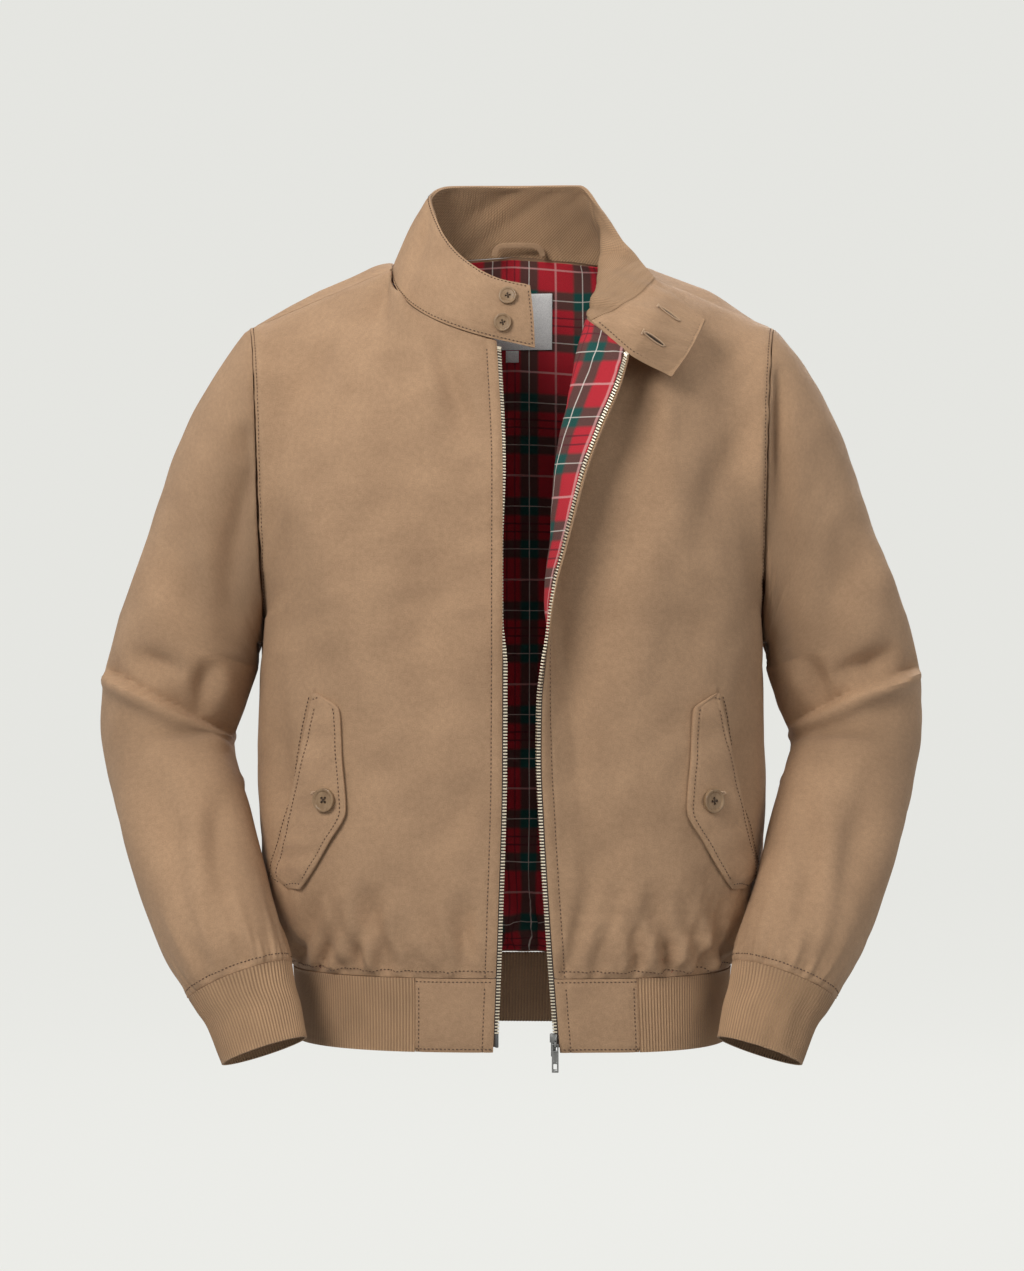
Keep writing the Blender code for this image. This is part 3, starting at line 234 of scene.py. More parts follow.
# Folds seen from the front, as rows of points: x, z, half width, height (less than 0 is a hollow).
FRONT_FOLDS = {
    RIGHT: (
        ((-0.104, -0.008, 0.008, 0.0), (-0.111, -0.025, 0.010, -0.0030), (-0.118, -0.060, 0.016, 0.0)),
        ((-0.066, -0.062, 0.007, 0.0), (-0.047, -0.112, 0.010, -0.0022), (-0.034, -0.165, 0.014, 0.0)),
        ((-0.150, -0.060, 0.012, 0.0), (-0.171, -0.090, 0.012, -0.0022), (-0.192, -0.150, 0.014, 0.0)),
        ((-0.185, -0.170, 0.016, 0.0), (-0.150, -0.270, 0.020, 0.0024), (-0.120, -0.380, 0.024, 0.0)),
        ((-0.060, -0.200, 0.020, 0.0), (-0.072, -0.300, 0.022, -0.0022), (-0.060, -0.420, 0.024, 0.0)),
        ((-0.198, -0.330, 0.010, 0.0), (-0.196, -0.420, 0.012, -0.0024), (-0.184, -0.480, 0.012, 0.0)),
        ((-0.102, -0.592, 0.006, -0.0020), (-0.112, -0.560, 0.008, -0.0030), (-0.121, -0.520, 0.012, 0.0)),
        ((-0.130, -0.592, 0.006, -0.0016), (-0.126, -0.560, 0.008, -0.0024), (-0.112, -0.515, 0.014, 0.0)),
        ((-0.160, -0.592, 0.006, -0.0016), (-0.154, -0.565, 0.008, -0.0022), (-0.140, -0.530, 0.012, 0.0)),
        ((-0.038, -0.592, 0.007, -0.0008), (-0.039, -0.560, 0.009, -0.0020), (-0.041, -0.525, 0.012, 0.0)),
        ((-0.180, -0.590, 0.007, -0.0014), (-0.170, -0.550, 0.010, -0.0020), (-0.150, -0.500, 0.014, 0.0)),
        ((-0.020, -0.420, 0.012, 0.0), (-0.045, -0.470, 0.016, -0.0016), (-0.090, -0.510, 0.018, 0.0)),
    ),
    LEFT: (
        ((0.105, -0.012, 0.008, 0.0), (0.118, -0.028, 0.012, -0.0024), (0.140, -0.045, 0.014, 0.0)),
        ((0.196, -0.120, 0.014, 0.0), (0.178, -0.180, 0.016, -0.0024), (0.150, -0.260, 0.020, 0.0)),
        ((0.200, -0.330, 0.012, 0.0), (0.198, -0.420, 0.014, -0.0022), (0.186, -0.480, 0.014, 0.0)),
        ((0.120, -0.210, 0.020, 0.0), (0.105, -0.300, 0.024, 0.0024), (0.085, -0.400, 0.024, 0.0)),
        ((0.066, -0.460, 0.020, 0.0), (0.078, -0.520, 0.018, -0.0018), (0.074, -0.580, 0.014, 0.0)),
        ((0.130, -0.592, 0.006, -0.0018), (0.126, -0.560, 0.008, -0.0026), (0.112, -0.515, 0.012, 0.0)),
        ((0.105, -0.592, 0.006, -0.0014), (0.103, -0.565, 0.008, -0.0022), (0.096, -0.535, 0.012, 0.0)),
        ((0.158, -0.592, 0.006, -0.0016), (0.153, -0.562, 0.008, -0.0024), (0.140, -0.525, 0.012, 0.0)),
        ((0.182, -0.590, 0.007, -0.0014), (0.172, -0.550, 0.010, -0.0020), (0.160, -0.505, 0.014, 0.0)),
        ((0.045, -0.592, 0.007, -0.0008), (0.048, -0.555, 0.010, -0.0018), (0.052, -0.515, 0.014, 0.0)),
    ),
}
BACK_FOLDS = (
    ((-0.200, -0.200, 0.014, 0.0), (-0.165, -0.290, 0.020, -0.0030), (-0.110, -0.400, 0.024, 0.0)),
    ((0.200, -0.190, 0.014, 0.0), (0.160, -0.300, 0.020, -0.0032), (0.100, -0.410, 0.024, 0.0)),
    ((-0.190, -0.110, 0.012, 0.0), (-0.168, -0.170, 0.016, -0.0028), (-0.140, -0.240, 0.020, 0.0)),
    ((0.190, -0.105, 0.012, 0.0), (0.170, -0.165, 0.016, -0.0028), (0.138, -0.245, 0.020, 0.0)),
    ((-0.060, -0.380, 0.020, 0.0), (0.010, -0.420, 0.024, -0.0026), (0.080, -0.405, 0.020, 0.0)),
    ((-0.140, -0.592, 0.007, -0.0018), (-0.128, -0.540, 0.012, -0.0030), (-0.100, -0.470, 0.018, 0.0)),
    ((-0.080, -0.592, 0.007, -0.0018), (-0.076, -0.550, 0.010, -0.0026), (-0.060, -0.500, 0.014, 0.0)),
    ((-0.020, -0.592, 0.007, -0.0016), (-0.012, -0.555, 0.010, -0.0024), (-0.015, -0.505, 0.014, 0.0)),
    ((0.035, -0.592, 0.007, -0.0018), (0.040, -0.548, 0.010, -0.0028), (0.030, -0.480, 0.016, 0.0)),
    ((0.095, -0.592, 0.007, -0.0018), (0.088, -0.550, 0.010, -0.0026), (0.078, -0.500, 0.014, 0.0)),
    ((0.150, -0.592, 0.007, -0.0018), (0.138, -0.545, 0.012, -0.0030), (0.110, -0.480, 0.018, 0.0)),
)
# Sleeve folds, x for the right sleeve: those seen from the front, then those seen from behind.
SLEEVE_FOLDS = {
    RIGHT: (
        ((-0.216, -0.150, 0.010, 0.0), (-0.228, -0.200, 0.014, -0.0040), (-0.237, -0.250, 0.014, -0.0042),
         (-0.238, -0.330, 0.014, 0.0)),
        ((-0.222, -0.135, 0.008, 0.0), (-0.226, -0.150, 0.010, -0.0026), (-0.230, -0.170, 0.010, 0.0)),
        ((-0.330, -0.325, 0.010, 0.0), (-0.305, -0.340, 0.012, -0.0034), (-0.275, -0.348, 0.012, 0.0)),
        ((-0.256, -0.335, 0.008, 0.0), (-0.261, -0.358, 0.009, -0.0034), (-0.258, -0.384, 0.008, 0.0)),
        ((-0.300, -0.215, 0.020, 0.0), (-0.272, -0.270, 0.020, -0.0024), (-0.262, -0.330, 0.016, 0.0)),
        ((-0.300, -0.420, 0.016, 0.0), (-0.285, -0.480, 0.018, -0.0026), (-0.256, -0.560, 0.014, 0.0)),
        ((-0.244, -0.440, 0.010, 0.0), (-0.246, -0.500, 0.012, -0.0026), (-0.232, -0.560, 0.010, 0.0)),
    ),
    LEFT: (
        ((0.224, -0.078, 0.008, 0.0), (0.223, -0.120, 0.012, -0.0044), (0.221, -0.190, 0.012, -0.0036),
         (0.226, -0.250, 0.014, 0.0)),
        ((0.332, -0.322, 0.010, 0.0), (0.310, -0.338, 0.011, -0.0040), (0.290, -0.343, 0.011, -0.0030),
         (0.268, -0.352, 0.010, 0.0)),
        ((0.250, -0.330, 0.008, 0.0), (0.258, -0.352, 0.009, -0.0032), (0.256, -0.378, 0.008, 0.0)),
        ((0.300, -0.200, 0.020, 0.0), (0.276, -0.265, 0.020, -0.0026), (0.262, -0.330, 0.016, 0.0)),
        ((0.302, -0.425, 0.016, 0.0), (0.288, -0.485, 0.018, -0.0026), (0.258, -0.565, 0.014, 0.0)),
        ((0.246, -0.440, 0.010, 0.0), (0.248, -0.510, 0.012, -0.0024), (0.234, -0.565, 0.010, 0.0)),
    ),
}
SLEEVE_BACK_FOLDS = (
    ((0.225, -0.110, 0.010, 0.0), (0.232, -0.180, 0.014, -0.0040), (0.240, -0.260, 0.016, 0.0)),
    ((0.235, -0.385, 0.010, -0.0036), (0.262, -0.372, 0.012, -0.0044), (0.300, -0.366, 0.014, 0.0)),
    ((0.238, -0.420, 0.010, -0.0030), (0.266, -0.412, 0.012, -0.0038), (0.300, -0.414, 0.014, 0.0)),
    ((0.320, -0.250, 0.018, 0.0), (0.296, -0.310, 0.020, -0.0028), (0.270, -0.350, 0.016, 0.0)),
    ((0.285, -0.450, 0.016, 0.0), (0.262, -0.520, 0.016, -0.0028), (0.240, -0.570, 0.012, 0.0)),
)

# The elbow folds, whose upper side hangs in shade, and the short pinches above the hem.
ELBOW_FOLDS = {
    RIGHT: (
        ((-0.350, -0.345, 0.007, -0.0090), (-0.335, -0.352, 0.009, -0.0150), (-0.296, -0.371, 0.009, -0.0138),
         (-0.262, -0.388, 0.008, -0.0122), (-0.238, -0.401, 0.006, -0.0081), (-0.228, -0.408, 0.006, 0.0)),
        ((-0.322, -0.330, 0.007, 0.0), (-0.300, -0.338, 0.008, -0.0038), (-0.272, -0.352, 0.007, 0.0)),
    ),
    LEFT: (
        ((0.350, -0.342, 0.007, -0.0090), (0.326, -0.352, 0.009, -0.0160), (0.300, -0.358, 0.009, -0.0130),
         (0.270, -0.373, 0.009, -0.0152), (0.242, -0.388, 0.007, -0.0087), (0.230, -0.400, 0.006, 0.0)),
        ((0.330, -0.326, 0.007, 0.0), (0.308, -0.338, 0.008, -0.0049), (0.288, -0.342, 0.007, -0.0029),
         (0.268, -0.352, 0.006, 0.0)),
    ),
}
HEM_PLEATS = {
    RIGHT: ((-0.184, 0.020, 0.004, 0.0008), (-0.163, 0.026, 0.006, 0.0010), (-0.141, 0.016, -0.002, 0.0006),
            (-0.118, 0.018, 0.003, 0.0007), (-0.1086, 0.036, -0.006, 0.0011), (-0.086, 0.015, 0.002, 0.0006),
            (-0.060, 0.020, 0.003, 0.0006)),
    LEFT: ((0.043, 0.018, 0.002, 0.0006), (0.070, 0.014, -0.002, 0.0006), (0.100, 0.020, 0.003, 0.0007),
           (0.128, 0.032, 0.004, 0.0011), (0.134, 0.016, -0.004, 0.0008), (0.155, 0.018, 0.003, 0.0007),
           (0.180, 0.022, -0.004, 0.0009)),
}


# Fine rows and columns: the spacing of the cloth's points.
FINE = 0.0027
HEM_STITCH = 0.0062          # from the rib seams up to the row of stitches
HEM_END_STITCH = 0.0032      # from the rib to the row of stitches on a woven hem end
COLLAR_GROOVE = (0.0026, 0.0006, 0.0013)     # place, depth and width of its stitched channel
GATHER_DEPTH = 0.0028        # the broad gathers above the hem
PUCKER, PUCKER_PITCH = (0.0011, 0.018), 0.010     # the fine ones: depth and reach, spacing
SEAM_BESIDE_FLAP = 0.0012    # from the flap's sewn side out to the channel in the front
SIDE_STEPS, ARM_FINE, ACROSS_FINE = 76, 84, 300

# The fine steps beside a panel's front edge and side seams, and the rows of stitches.
EDGE_MARKS = (0.0004, 0.0012, 0.0024, 0.0040, 0.0060, 0.0076, 0.0092, 0.0108, 0.0130, 0.0152)
SIDE_MARKS = (0.0004, 0.0012, 0.0022, 0.0034, 0.0046, 0.0058, 0.0074)
PLACKET = 0.0092             # from the front edge to its row of stitches
ARM_STITCH = 0.0046          # from the armhole seam to its row of stitches
SIDE_STITCH = 0.0045         # from the flap's sewn side out to the row of stitches beside it

# The lining, the collar tab's and the flaps' buttonholes, and the zip's teeth.
HEM_SLACK = 0.0045           # how far the lining hangs clear of the pleats above the hem
EDGE_LINING_SKIP = 5         # the lining stops at the fifth column in from the front edge
TAB_HOLES = ((0.925, 0.72), (0.925, 0.33))
POCKET_HOLE = {RIGHT: 0.0080, LEFT: 0.0080}
TOOTH_PITCH = 0.0026
TOP_STOP = (1.05, 2.4, 1.3)   # how much larger the stop above the teeth is
NARROWEST_SHEET = 0.0101     # tapes and loops are narrower than a sheet may be

# The studio: floor height, size and bend of the room, its colour and light, and the view.
# A lamp is its name, place, aim, size and power.
FLOOR, ROOM, WALL_BEND = -1.10, 7.0, 3.5
PAPER, WORLD_LIGHT = (0.765, 0.768, 0.735), 0.30
CAMERA_WIDTH, CAMERA_HEIGHT = 0.88064, -0.3143
LAMPS = (
    ("key lamp", (-2.3, -3.2, 2.0), (0, 0, -0.3), 2.2, 152),
    ("fill lamp", (2.6, -3.0, 0.4), (0, 0, -0.3), 2.6, 36),
    ("top lamp", (0.0, 0.2, 3.0), (0, 0, -0.3), 1.8, 42),
    ("back lamp", (0.9, 3.4, 1.6), (0, 0, -0.3), 2.2, 110),
)


# ---------------------------------------------------------------- curves and blends

def smooth(low, high, value):
    """0 below low, 1 above high, and an even rise between."""
    share = np.clip((value - low) / (high - low), 0.0, 1.0)
    return share * share * (3.0 - 2.0 * share)


def mix(start, end, share):
    """The value a share of the way from start to end."""
    return start + (end - start) * share


def table_at(table, keys):
    """The other columns of a table where its first column is keys, joined smoothly."""
    rows = np.array(table, dtype=float)
    knots, values = rows[:, 0], rows[:, 1:]
    keys = np.clip(np.asarray(keys, dtype=float), knots[0], knots[-1])
    steps = np.diff(knots)
    rises = np.diff(values, axis=0) / steps[:, None]
    slopes = np.zeros_like(values)
    slopes[0], slopes[-1] = rises[0], rises[-1]
    product = rises[:-1] * rises[1:]
    total = rises[:-1] + rises[1:]
    safe = np.where(product > 0, total, 1.0)
    slopes[1:-1] = np.where(product > 0, 2.0 * product / safe, 0.0)
    index = np.clip(np.searchsorted(knots, keys, side="right") - 1, 0, len(steps) - 1)
    width = steps[index][..., None]
    share = ((keys - knots[index]) / steps[index])[..., None]
    square, cube = share ** 2, share ** 3
    return ((2 * cube - 3 * square + 1) * values[index]
            + (cube - 2 * square + share) * width * slopes[index]
            + (3 * square - 2 * cube) * values[index + 1]
            + (cube - square) * width * slopes[index + 1])


def bend(start, turn, end, share):
    """Points on the curve from start to end that leaves and arrives by the turn point."""
    start, turn, end = (np.array(point, dtype=float) for point in (start, turn, end))
    share = np.asarray(share, dtype=float)[..., None]
    return (1 - share) ** 2 * start + 2 * share * (1 - share) * turn + share ** 2 * end


def mirrored(point, side):
    """A left-side point, or its mirror image."""
    return (point[0] * side, point[1], point[2])


def unit(vectors):
    """Vectors of length one."""
    return vectors / np.maximum(np.linalg.norm(vectors, axis=-1), 1e-12)[..., None]


def lengths(points):
    """How far along a path each of its points lies."""
    steps = np.linalg.norm(np.diff(points, axis=0), axis=-1)
    return np.concatenate([[0.0], np.cumsum(steps)])


def along_path(points, distances):
    """The points of a path at distances from its start."""
    reach = lengths(points)
    return np.stack([np.interp(distances, reach, points[:, k]) for k in range(points.shape[1])], axis=-1)


def waves(u, v, wavelength, seed):
    """Soft unevenness between about -1 and 1, of a wavelength, the same for the same seed."""
    rng = np.random.default_rng(seed)
    total = 0.0
    for _ in range(7):
        turn = rng.uniform(0, math.tau)
        pitch = math.tau / (wavelength * rng.uniform(0.7, 1.5))
        total = total + np.sin((u * math.cos(turn) + v * math.sin(turn)) * pitch + rng.uniform(0, math.tau))
    return total / 4.0


# ---------------------------------------------------------------- the body's surface

def edge_x(side, height):
    """x where the even part of a front ends: its edge, or the start of the left roll."""
    if side == RIGHT:
        return table_at(RIGHT_EDGE, height)[..., 0]
    return roll_start(height)[..., 0]


def roll_start(height):
    """x of the roll's start, straight width after it, start angle, end angle, radius."""
    edge, width, first, last, radius = np.moveaxis(table_at(LEFT_ROLL, height), -1, 0)
    first, last = np.radians(first), np.radians(last)
    straight = width - radius * (last - first)
    start = edge + radius * (np.sin(last) - np.sin(first)) + straight * np.cos(last)
    return np.stack([start, straight, first, last, radius], axis=-1)


def section(side, height, across, back=False):
    """A point of the body's cross-section: across is 0 at the side and 1 at the middle."""
    half, front, rear, square = np.moveaxis(table_at(TRUNK, height), -1, 0)
    angle = across * math.pi / 2
    inner = np.zeros_like(half) if back else edge_x(side, height) * side
    x = inner + (half - inner) * np.cos(angle).clip(0) ** (2 / square)
    reach = rear if back else front
    y = SIDE_Y + (reach - SIDE_Y) * np.sin(angle) ** (2 / square)
    return np.stack([x * side, y, height + 0 * x], axis=-1)


def top_line(side, across, back=False):
    """The panel's upper edge: the shoulder seam, then the neckline."""
    outer = np.array(mirrored(SHOULDER_POINT, side))
    inner = np.array(mirrored(NECK_POINT, side))
    share = (np.clip(across / SHOULDER_SHARE, 0, 1) ** 1.3)[..., None]
    shoulder = outer + (inner - outer) * share
    if back:
        turn, end = mirrored(BACK_NECK_TURN, side), BACK_NECK
    else:
        turn, end = FRONT_NECK[side]
    round_neck = np.clip((across - SHOULDER_SHARE) / (1 - SHOULDER_SHARE), 0, 1)
    neck = bend(inner, turn, end, round_neck)
    return np.where((across <= SHOULDER_SHARE)[..., None], shoulder, neck)


def yoke(side, across, up, back=False):
    """A panel above the underarm: up is 0 there and 1 at the shoulder and the neck."""
    low = section(side, np.full_like(across, UNDERARM_Z), across, back)
    spread = 0.16 * (1 - up) ** 0.7 * np.sin(math.pi * across)
    high = sum(top_line(side, across + spread * part, back) for part in (-1, -0.5, 0, 0.5, 1)) / 5
    arm = np.sin(math.pi * up).clip(0) ** 0.9
    near_arm = np.exp(-4.5 * across)
    lift = mix((1 - np.cos(math.pi * up)) / 2, up, smooth(0.0, 0.35, across))
    z = mix(low[..., 2], high[..., 2], lift)
    lean = np.clip((up - 0.3) / 0.7, 0, 1) ** 1.7
    inset = CHEST_INSET * np.sin(math.pi * across ** 0.6) * np.sin(math.pi * up)
    x = mix(low[..., 0], high[..., 0], lean) - side * inset
    over_neck = smooth(0.66, 0.95, across)
    if back:
        over = mix(1 - (1 - up ** 3.0).clip(0) ** 0.60, up ** 2.2, over_neck)
        y = mix(low[..., 1], high[..., 1], over) + ARMHOLE_BACK * near_arm * arm
        ridge = SHOULDER_RIDGE * smooth(0, 0.40, across) * (1 - smooth(0.6, 0.9, across))
        z = z + ridge * up ** 8 * (1 - up)
    else:
        over = mix(1 - (1 - up ** 2.4).clip(0) ** 0.62, up ** 1.6, over_neck)
        y = mix(low[..., 1], high[..., 1], over) - ARMHOLE_FRONT * near_arm * arm
        edge_height = mix(UNDERARM_Z, high[..., 2], up)
        if side == LEFT:
            edge_height = mix(UNDERARM_Z, FRONT_NECK[LEFT][1][2] - LEFT_CORNER_DROP, up)
        middle = mix(section(side, UNDERARM_Z + 0 * across, 1 + 0 * across)[..., 0],
                     FRONT_NECK[side][1][0], lean)
        x = x + (edge_x(side, edge_height) - middle) * across ** 3
    return np.stack([x, y, z], axis=-1)


def roll_points(start, edge_height, drop, shares):
    """Points on the left front's rolled edge, at shares of the cloth's turned width."""
    _, straight, first, last, radius = roll_start(edge_height)
    arc = radius * (last - first)
    along = shares * (arc + straight)
    angle = first + np.minimum(along, arc) / radius
    rest = np.maximum(0.0, along - arc)
    x = start[0] - radius * (np.sin(angle) - np.sin(first)) - rest * np.cos(last)
    y = start[1] - radius * (np.cos(first) - np.cos(angle)) - rest * np.sin(last)
    return np.stack([x, y, edge_height + drop * (1 - shares ** 1.2)], axis=-1)


def body_rows(side, back=False):
    """Fine rows of a front or of half the back, hem to top, from the side to the edge."""
    across = np.linspace(0, 1, ACROSS_FINE)
    rows = [section(side, np.full_like(across, height), across, back)
            for height in np.linspace(HEM_SEAM, UNDERARM_Z, SIDE_STEPS)]
    ups = [0.0] * SIDE_STEPS
    for up in np.linspace(0, 1, ARM_FINE)[1:]:
        rows.append(yoke(side, across, np.full_like(across, up), back))
        ups.append(up)
    if side == RIGHT or back:
        return rows
    shares = np.linspace(0, 1, 60)[1:]
    return [np.vstack([row, roll_points(row[-1], row[-1][2] - LEFT_CORNER_DROP * up,
                                        LEFT_CORNER_DROP * up, shares)])
            for row, up in zip(rows, ups)]


def respaced(rows, edge_marks=(), side_marks=()):
    """Rows at even spacing, with columns at set distances from the edge and from the side."""
    widest = max(lengths(row)[-1] for row in rows)
    first, last = max((0, *side_marks)), max((0, *edge_marks))
    count = int((widest - first - last) / FINE)
    spaced = []
    for row in rows:
        reach = lengths(row)[-1]
        between = np.linspace(first, reach - last, count)
        marks = np.concatenate([[m for m in (0, *side_marks) if m < first], between,
                                [reach - m for m in sorted((0, *edge_marks), reverse=True) if m < last]])
        spaced.append(along_path(row, marks))
    return np.array(spaced)


# ---------------------------------------------------------------- sleeves and cuffs

def armhole(side):
    """The armhole's ring from the underarm up the front and down the back."""
    column = np.zeros(1)
    front = [section(side, np.array([UNDERARM_Z]), column)[0]]
    ups = np.linspace(0, 1, ARM_FINE)
    front += [yoke(side, column, np.full(1, up))[0] for up in ups[1:]]
    back = [yoke(side, column, np.full(1, up), back=True)[0] for up in ups[-2:0:-1]]
    return np.array(front + back)


def sleeve_ring(side, row):
    """One ring of a sleeve or cuff, from its inner side by the front to the back."""
    cx, cy, cz, tilt, pitch, half, to_front, to_back = row
    tilt, pitch = math.radians(tilt), math.radians(pitch)
    outwards = np.array([-math.cos(tilt), 0, math.sin(tilt)])
    forwards = np.array([0, -math.cos(pitch), math.sin(pitch)])
    count = 2 * (ARM_FINE - 1)
    angle = (math.tau * np.arange(count) / count)[:, None]
    depth = np.where(np.sin(angle) > 0, to_front, to_back)
    points = (np.array([cx, cy, cz]) - outwards * half * np.cos(angle)
              + forwards * depth * np.sin(angle))
    return points * (-side, 1, 1)


def sleeve_head(side, lower, shares):
    """Rings that carry the armhole over into the sleeve's first round ring."""
    ring = armhole(side)
    angle = np.linspace(0, math.tau, len(ring), endpoint=False)
    high = (1 - np.cos(angle)) / 2
    away = unit(np.stack([side * (0.10 + 0.52 * high), -0.12 * np.sin(angle), -1 + 0.30 * high], axis=-1))
    tilt = math.radians(SLEEVE[0][3])
    along = np.array([side * math.sin(tilt), 0, -math.cos(tilt)])
    length = np.linalg.norm(lower - ring, axis=-1)[:, None]
    rings = []
    for share in shares:
        square, cube = share ** 2, share ** 3
        rings.append((2 * cube - 3 * square + 1) * ring + (cube - 2 * square + share) * length * away
                     + (3 * square - 2 * cube) * lower + (cube - square) * length * along)
    return rings


def rings_between(side, table, count):
    """Fine rings down a sleeve or cuff from the rows of its table."""
    keyed = [(number, *row) for number, row in enumerate(table)]
    return [sleeve_ring(side, row) for row in table_at(keyed, np.linspace(0, len(table) - 1, count))]


def push_clear(points, clearance):
    """Points moved out of the body's cross-section, with some room to spare."""
    x, y, z = np.moveaxis(points, -1, 0)
    half, front, rear, square = np.moveaxis(table_at(TRUNK, z), -1, 0)
    reach = np.abs(np.where(y < SIDE_Y, front, rear)) + clearance
    size = (np.abs(x) / (half + clearance)) ** square
    size = (size + (np.abs(y - SIDE_Y) / reach) ** square) ** (1 / square)
    grow = np.where((size < 1) & (z <= UNDERARM_Z - 0.02), 1 / np.maximum(size, 0.2), 1.0)
    return np.stack([x * grow, SIDE_Y + (y - SIDE_Y) * grow, z], axis=-1)


def sleeve_grid(side):
    """All rings of a sleeve, armhole to cuff, closed round."""
    lower = rings_between(side, SLEEVE, 112)
    rings = sleeve_head(side, lower[0], np.linspace(0, 1, 54)[:-1]) + lower
    return push_clear(close_round(np.array(rings)), SLEEVE_CLEARANCE)


def cuff_grid(side):
    """All rings of a cuff, closed round."""
    rings = np.array(rings_between(side, CUFF, 18))
    return push_clear(close_round(rings), SLEEVE_CLEARANCE)


def close_round(rings):
    """Rings with their first point again at the end."""
    return np.concatenate([rings, rings[:, :1]], axis=1)


# ---------------------------------------------------------------- collar and hem

def collar_grid(front_right, half_right, half_left, front_left):
    """The collar from its button end to its tab, and the place of each column along it."""
    across = np.linspace(0, 1, ACROSS_FINE)
    neck = across >= SHOULDER_SHARE
    knots = (SHOULDER_SHARE, 0.80, 0.90, 1.0)
    shares = np.interp(across[neck], knots, (0, 1 / 3, 2 / 3, 1))
    back_shares = np.interp(across[neck], (SHOULDER_SHARE, 0.84, 1.0), (0, 0.5, 1))
    even = np.linspace(0, 1, 12)
    tops = [rows[-1] for rows in (front_right, half_right, half_left, front_left)]
    turned = tops[3][len(across):]
    bottom, places = [], []

    def run(points, first, last, steps):
        bottom.extend(points)
        places.extend(mix(first, last, np.asarray(steps)))

    run(mix(np.array(END_BOTTOM[RIGHT]), tops[0][-1], even[:, None]), -1, -COLLAR_EDGE_SHARE, even)
    run(tops[0][neck][::-1][1:], -COLLAR_EDGE_SHARE, -COLLAR_BACK_SHARE, (1 - shares)[::-1][1:])
    run(tops[1][neck][1:], -COLLAR_BACK_SHARE, 0, back_shares[1:])
    run(tops[2][neck][::-1][1:], 0, COLLAR_BACK_SHARE, (1 - back_shares)[::-1][1:])
    run(tops[3][:len(across)][neck][1:], COLLAR_BACK_SHARE, COLLAR_ROLL_SHARE, shares[1:])
    run(turned, COLLAR_ROLL_SHARE, COLLAR_EDGE_SHARE, np.linspace(0, 1, len(turned) + 1)[1:])
    run(mix(tops[3][-1], np.array(END_BOTTOM[LEFT]), even[1:, None]), COLLAR_EDGE_SHARE, 1, even[1:])
    bottom, places = np.array(bottom), np.array(places)
    reach = lengths(bottom)
    marks = np.linspace(0, reach[-1], int(reach[-1] / 0.00115))
    bottom = along_path(bottom, marks)
    places = np.interp(marks, reach, places)
    shape = table_at(COLLAR, places)
    middle, top = shape[:, :3], shape[:, 3:]
    rows = [bottom * (1 - share) * (1 - 2 * share) + middle * 4 * share * (1 - share)
            + top * share * (2 * share - 1) for share in np.linspace(0, 1, 26)]
    return np.array(rows), places


def across_at(side, x, height):
    """How far across a front, from its side, a distance x from the middle lies."""
    half, _, _, square = table_at(TRUNK, height)
    inner = edge_x(side, np.array(height)) * side
    return math.acos(((x - inner) / (half - inner)) ** (square / 2)) * 2 / math.pi


def hem_end_rows(side, heights):
    """Rows of a woven end of the hem band, from the rib to the zip."""
    first = across_at(side, HEM_END_X[side], HEM_SEAM)
    across = np.linspace(first, 1, 120)
    rows = [section(side, np.full_like(across, height), across) for height in heights]
    if side == LEFT:
        shares = np.linspace(0, 1, 30)[1:]
        rows = [np.vstack([row, roll_points(row[-1], row[-1][2], 0, shares)]) for row in rows]
    return rows


def hem_rib_rows(heights):
    """Rows of the rib band from the right woven end round the back to the left one."""
    right = np.linspace(across_at(RIGHT, HEM_END_X[RIGHT], HEM_SEAM), 0, 200)
    left = np.linspace(0, across_at(LEFT, HEM_END_X[LEFT], HEM_SEAM), 200)[1:]
    behind = np.linspace(0, 1, 200)[1:]
    rows = []
    for height in heights:
        rows.append(np.vstack([
            section(RIGHT, np.full_like(right, height), right),
            section(RIGHT, np.full_like(behind, height), behind, back=True),
            section(LEFT, np.full_like(behind, height), behind, back=True)[::-1][1:],
            section(LEFT, np.full_like(left, height), left)]))
    return rows


def on_trunk(side, x, height):
    """Points of a front at distances x from the middle and at heights."""
    half, front, _, square = np.moveaxis(table_at(TRUNK, height), -1, 0)
    inner = edge_x(side, height) * side
    share = np.clip((x - inner) / (half - inner), 0, 1)
    depth = (1 - share ** square) ** (1 / square)
    return np.stack([x * side, SIDE_Y + (front - SIDE_Y) * depth, height + 0 * x], axis=-1)


# ---------------------------------------------------------------- cloth as thin shells

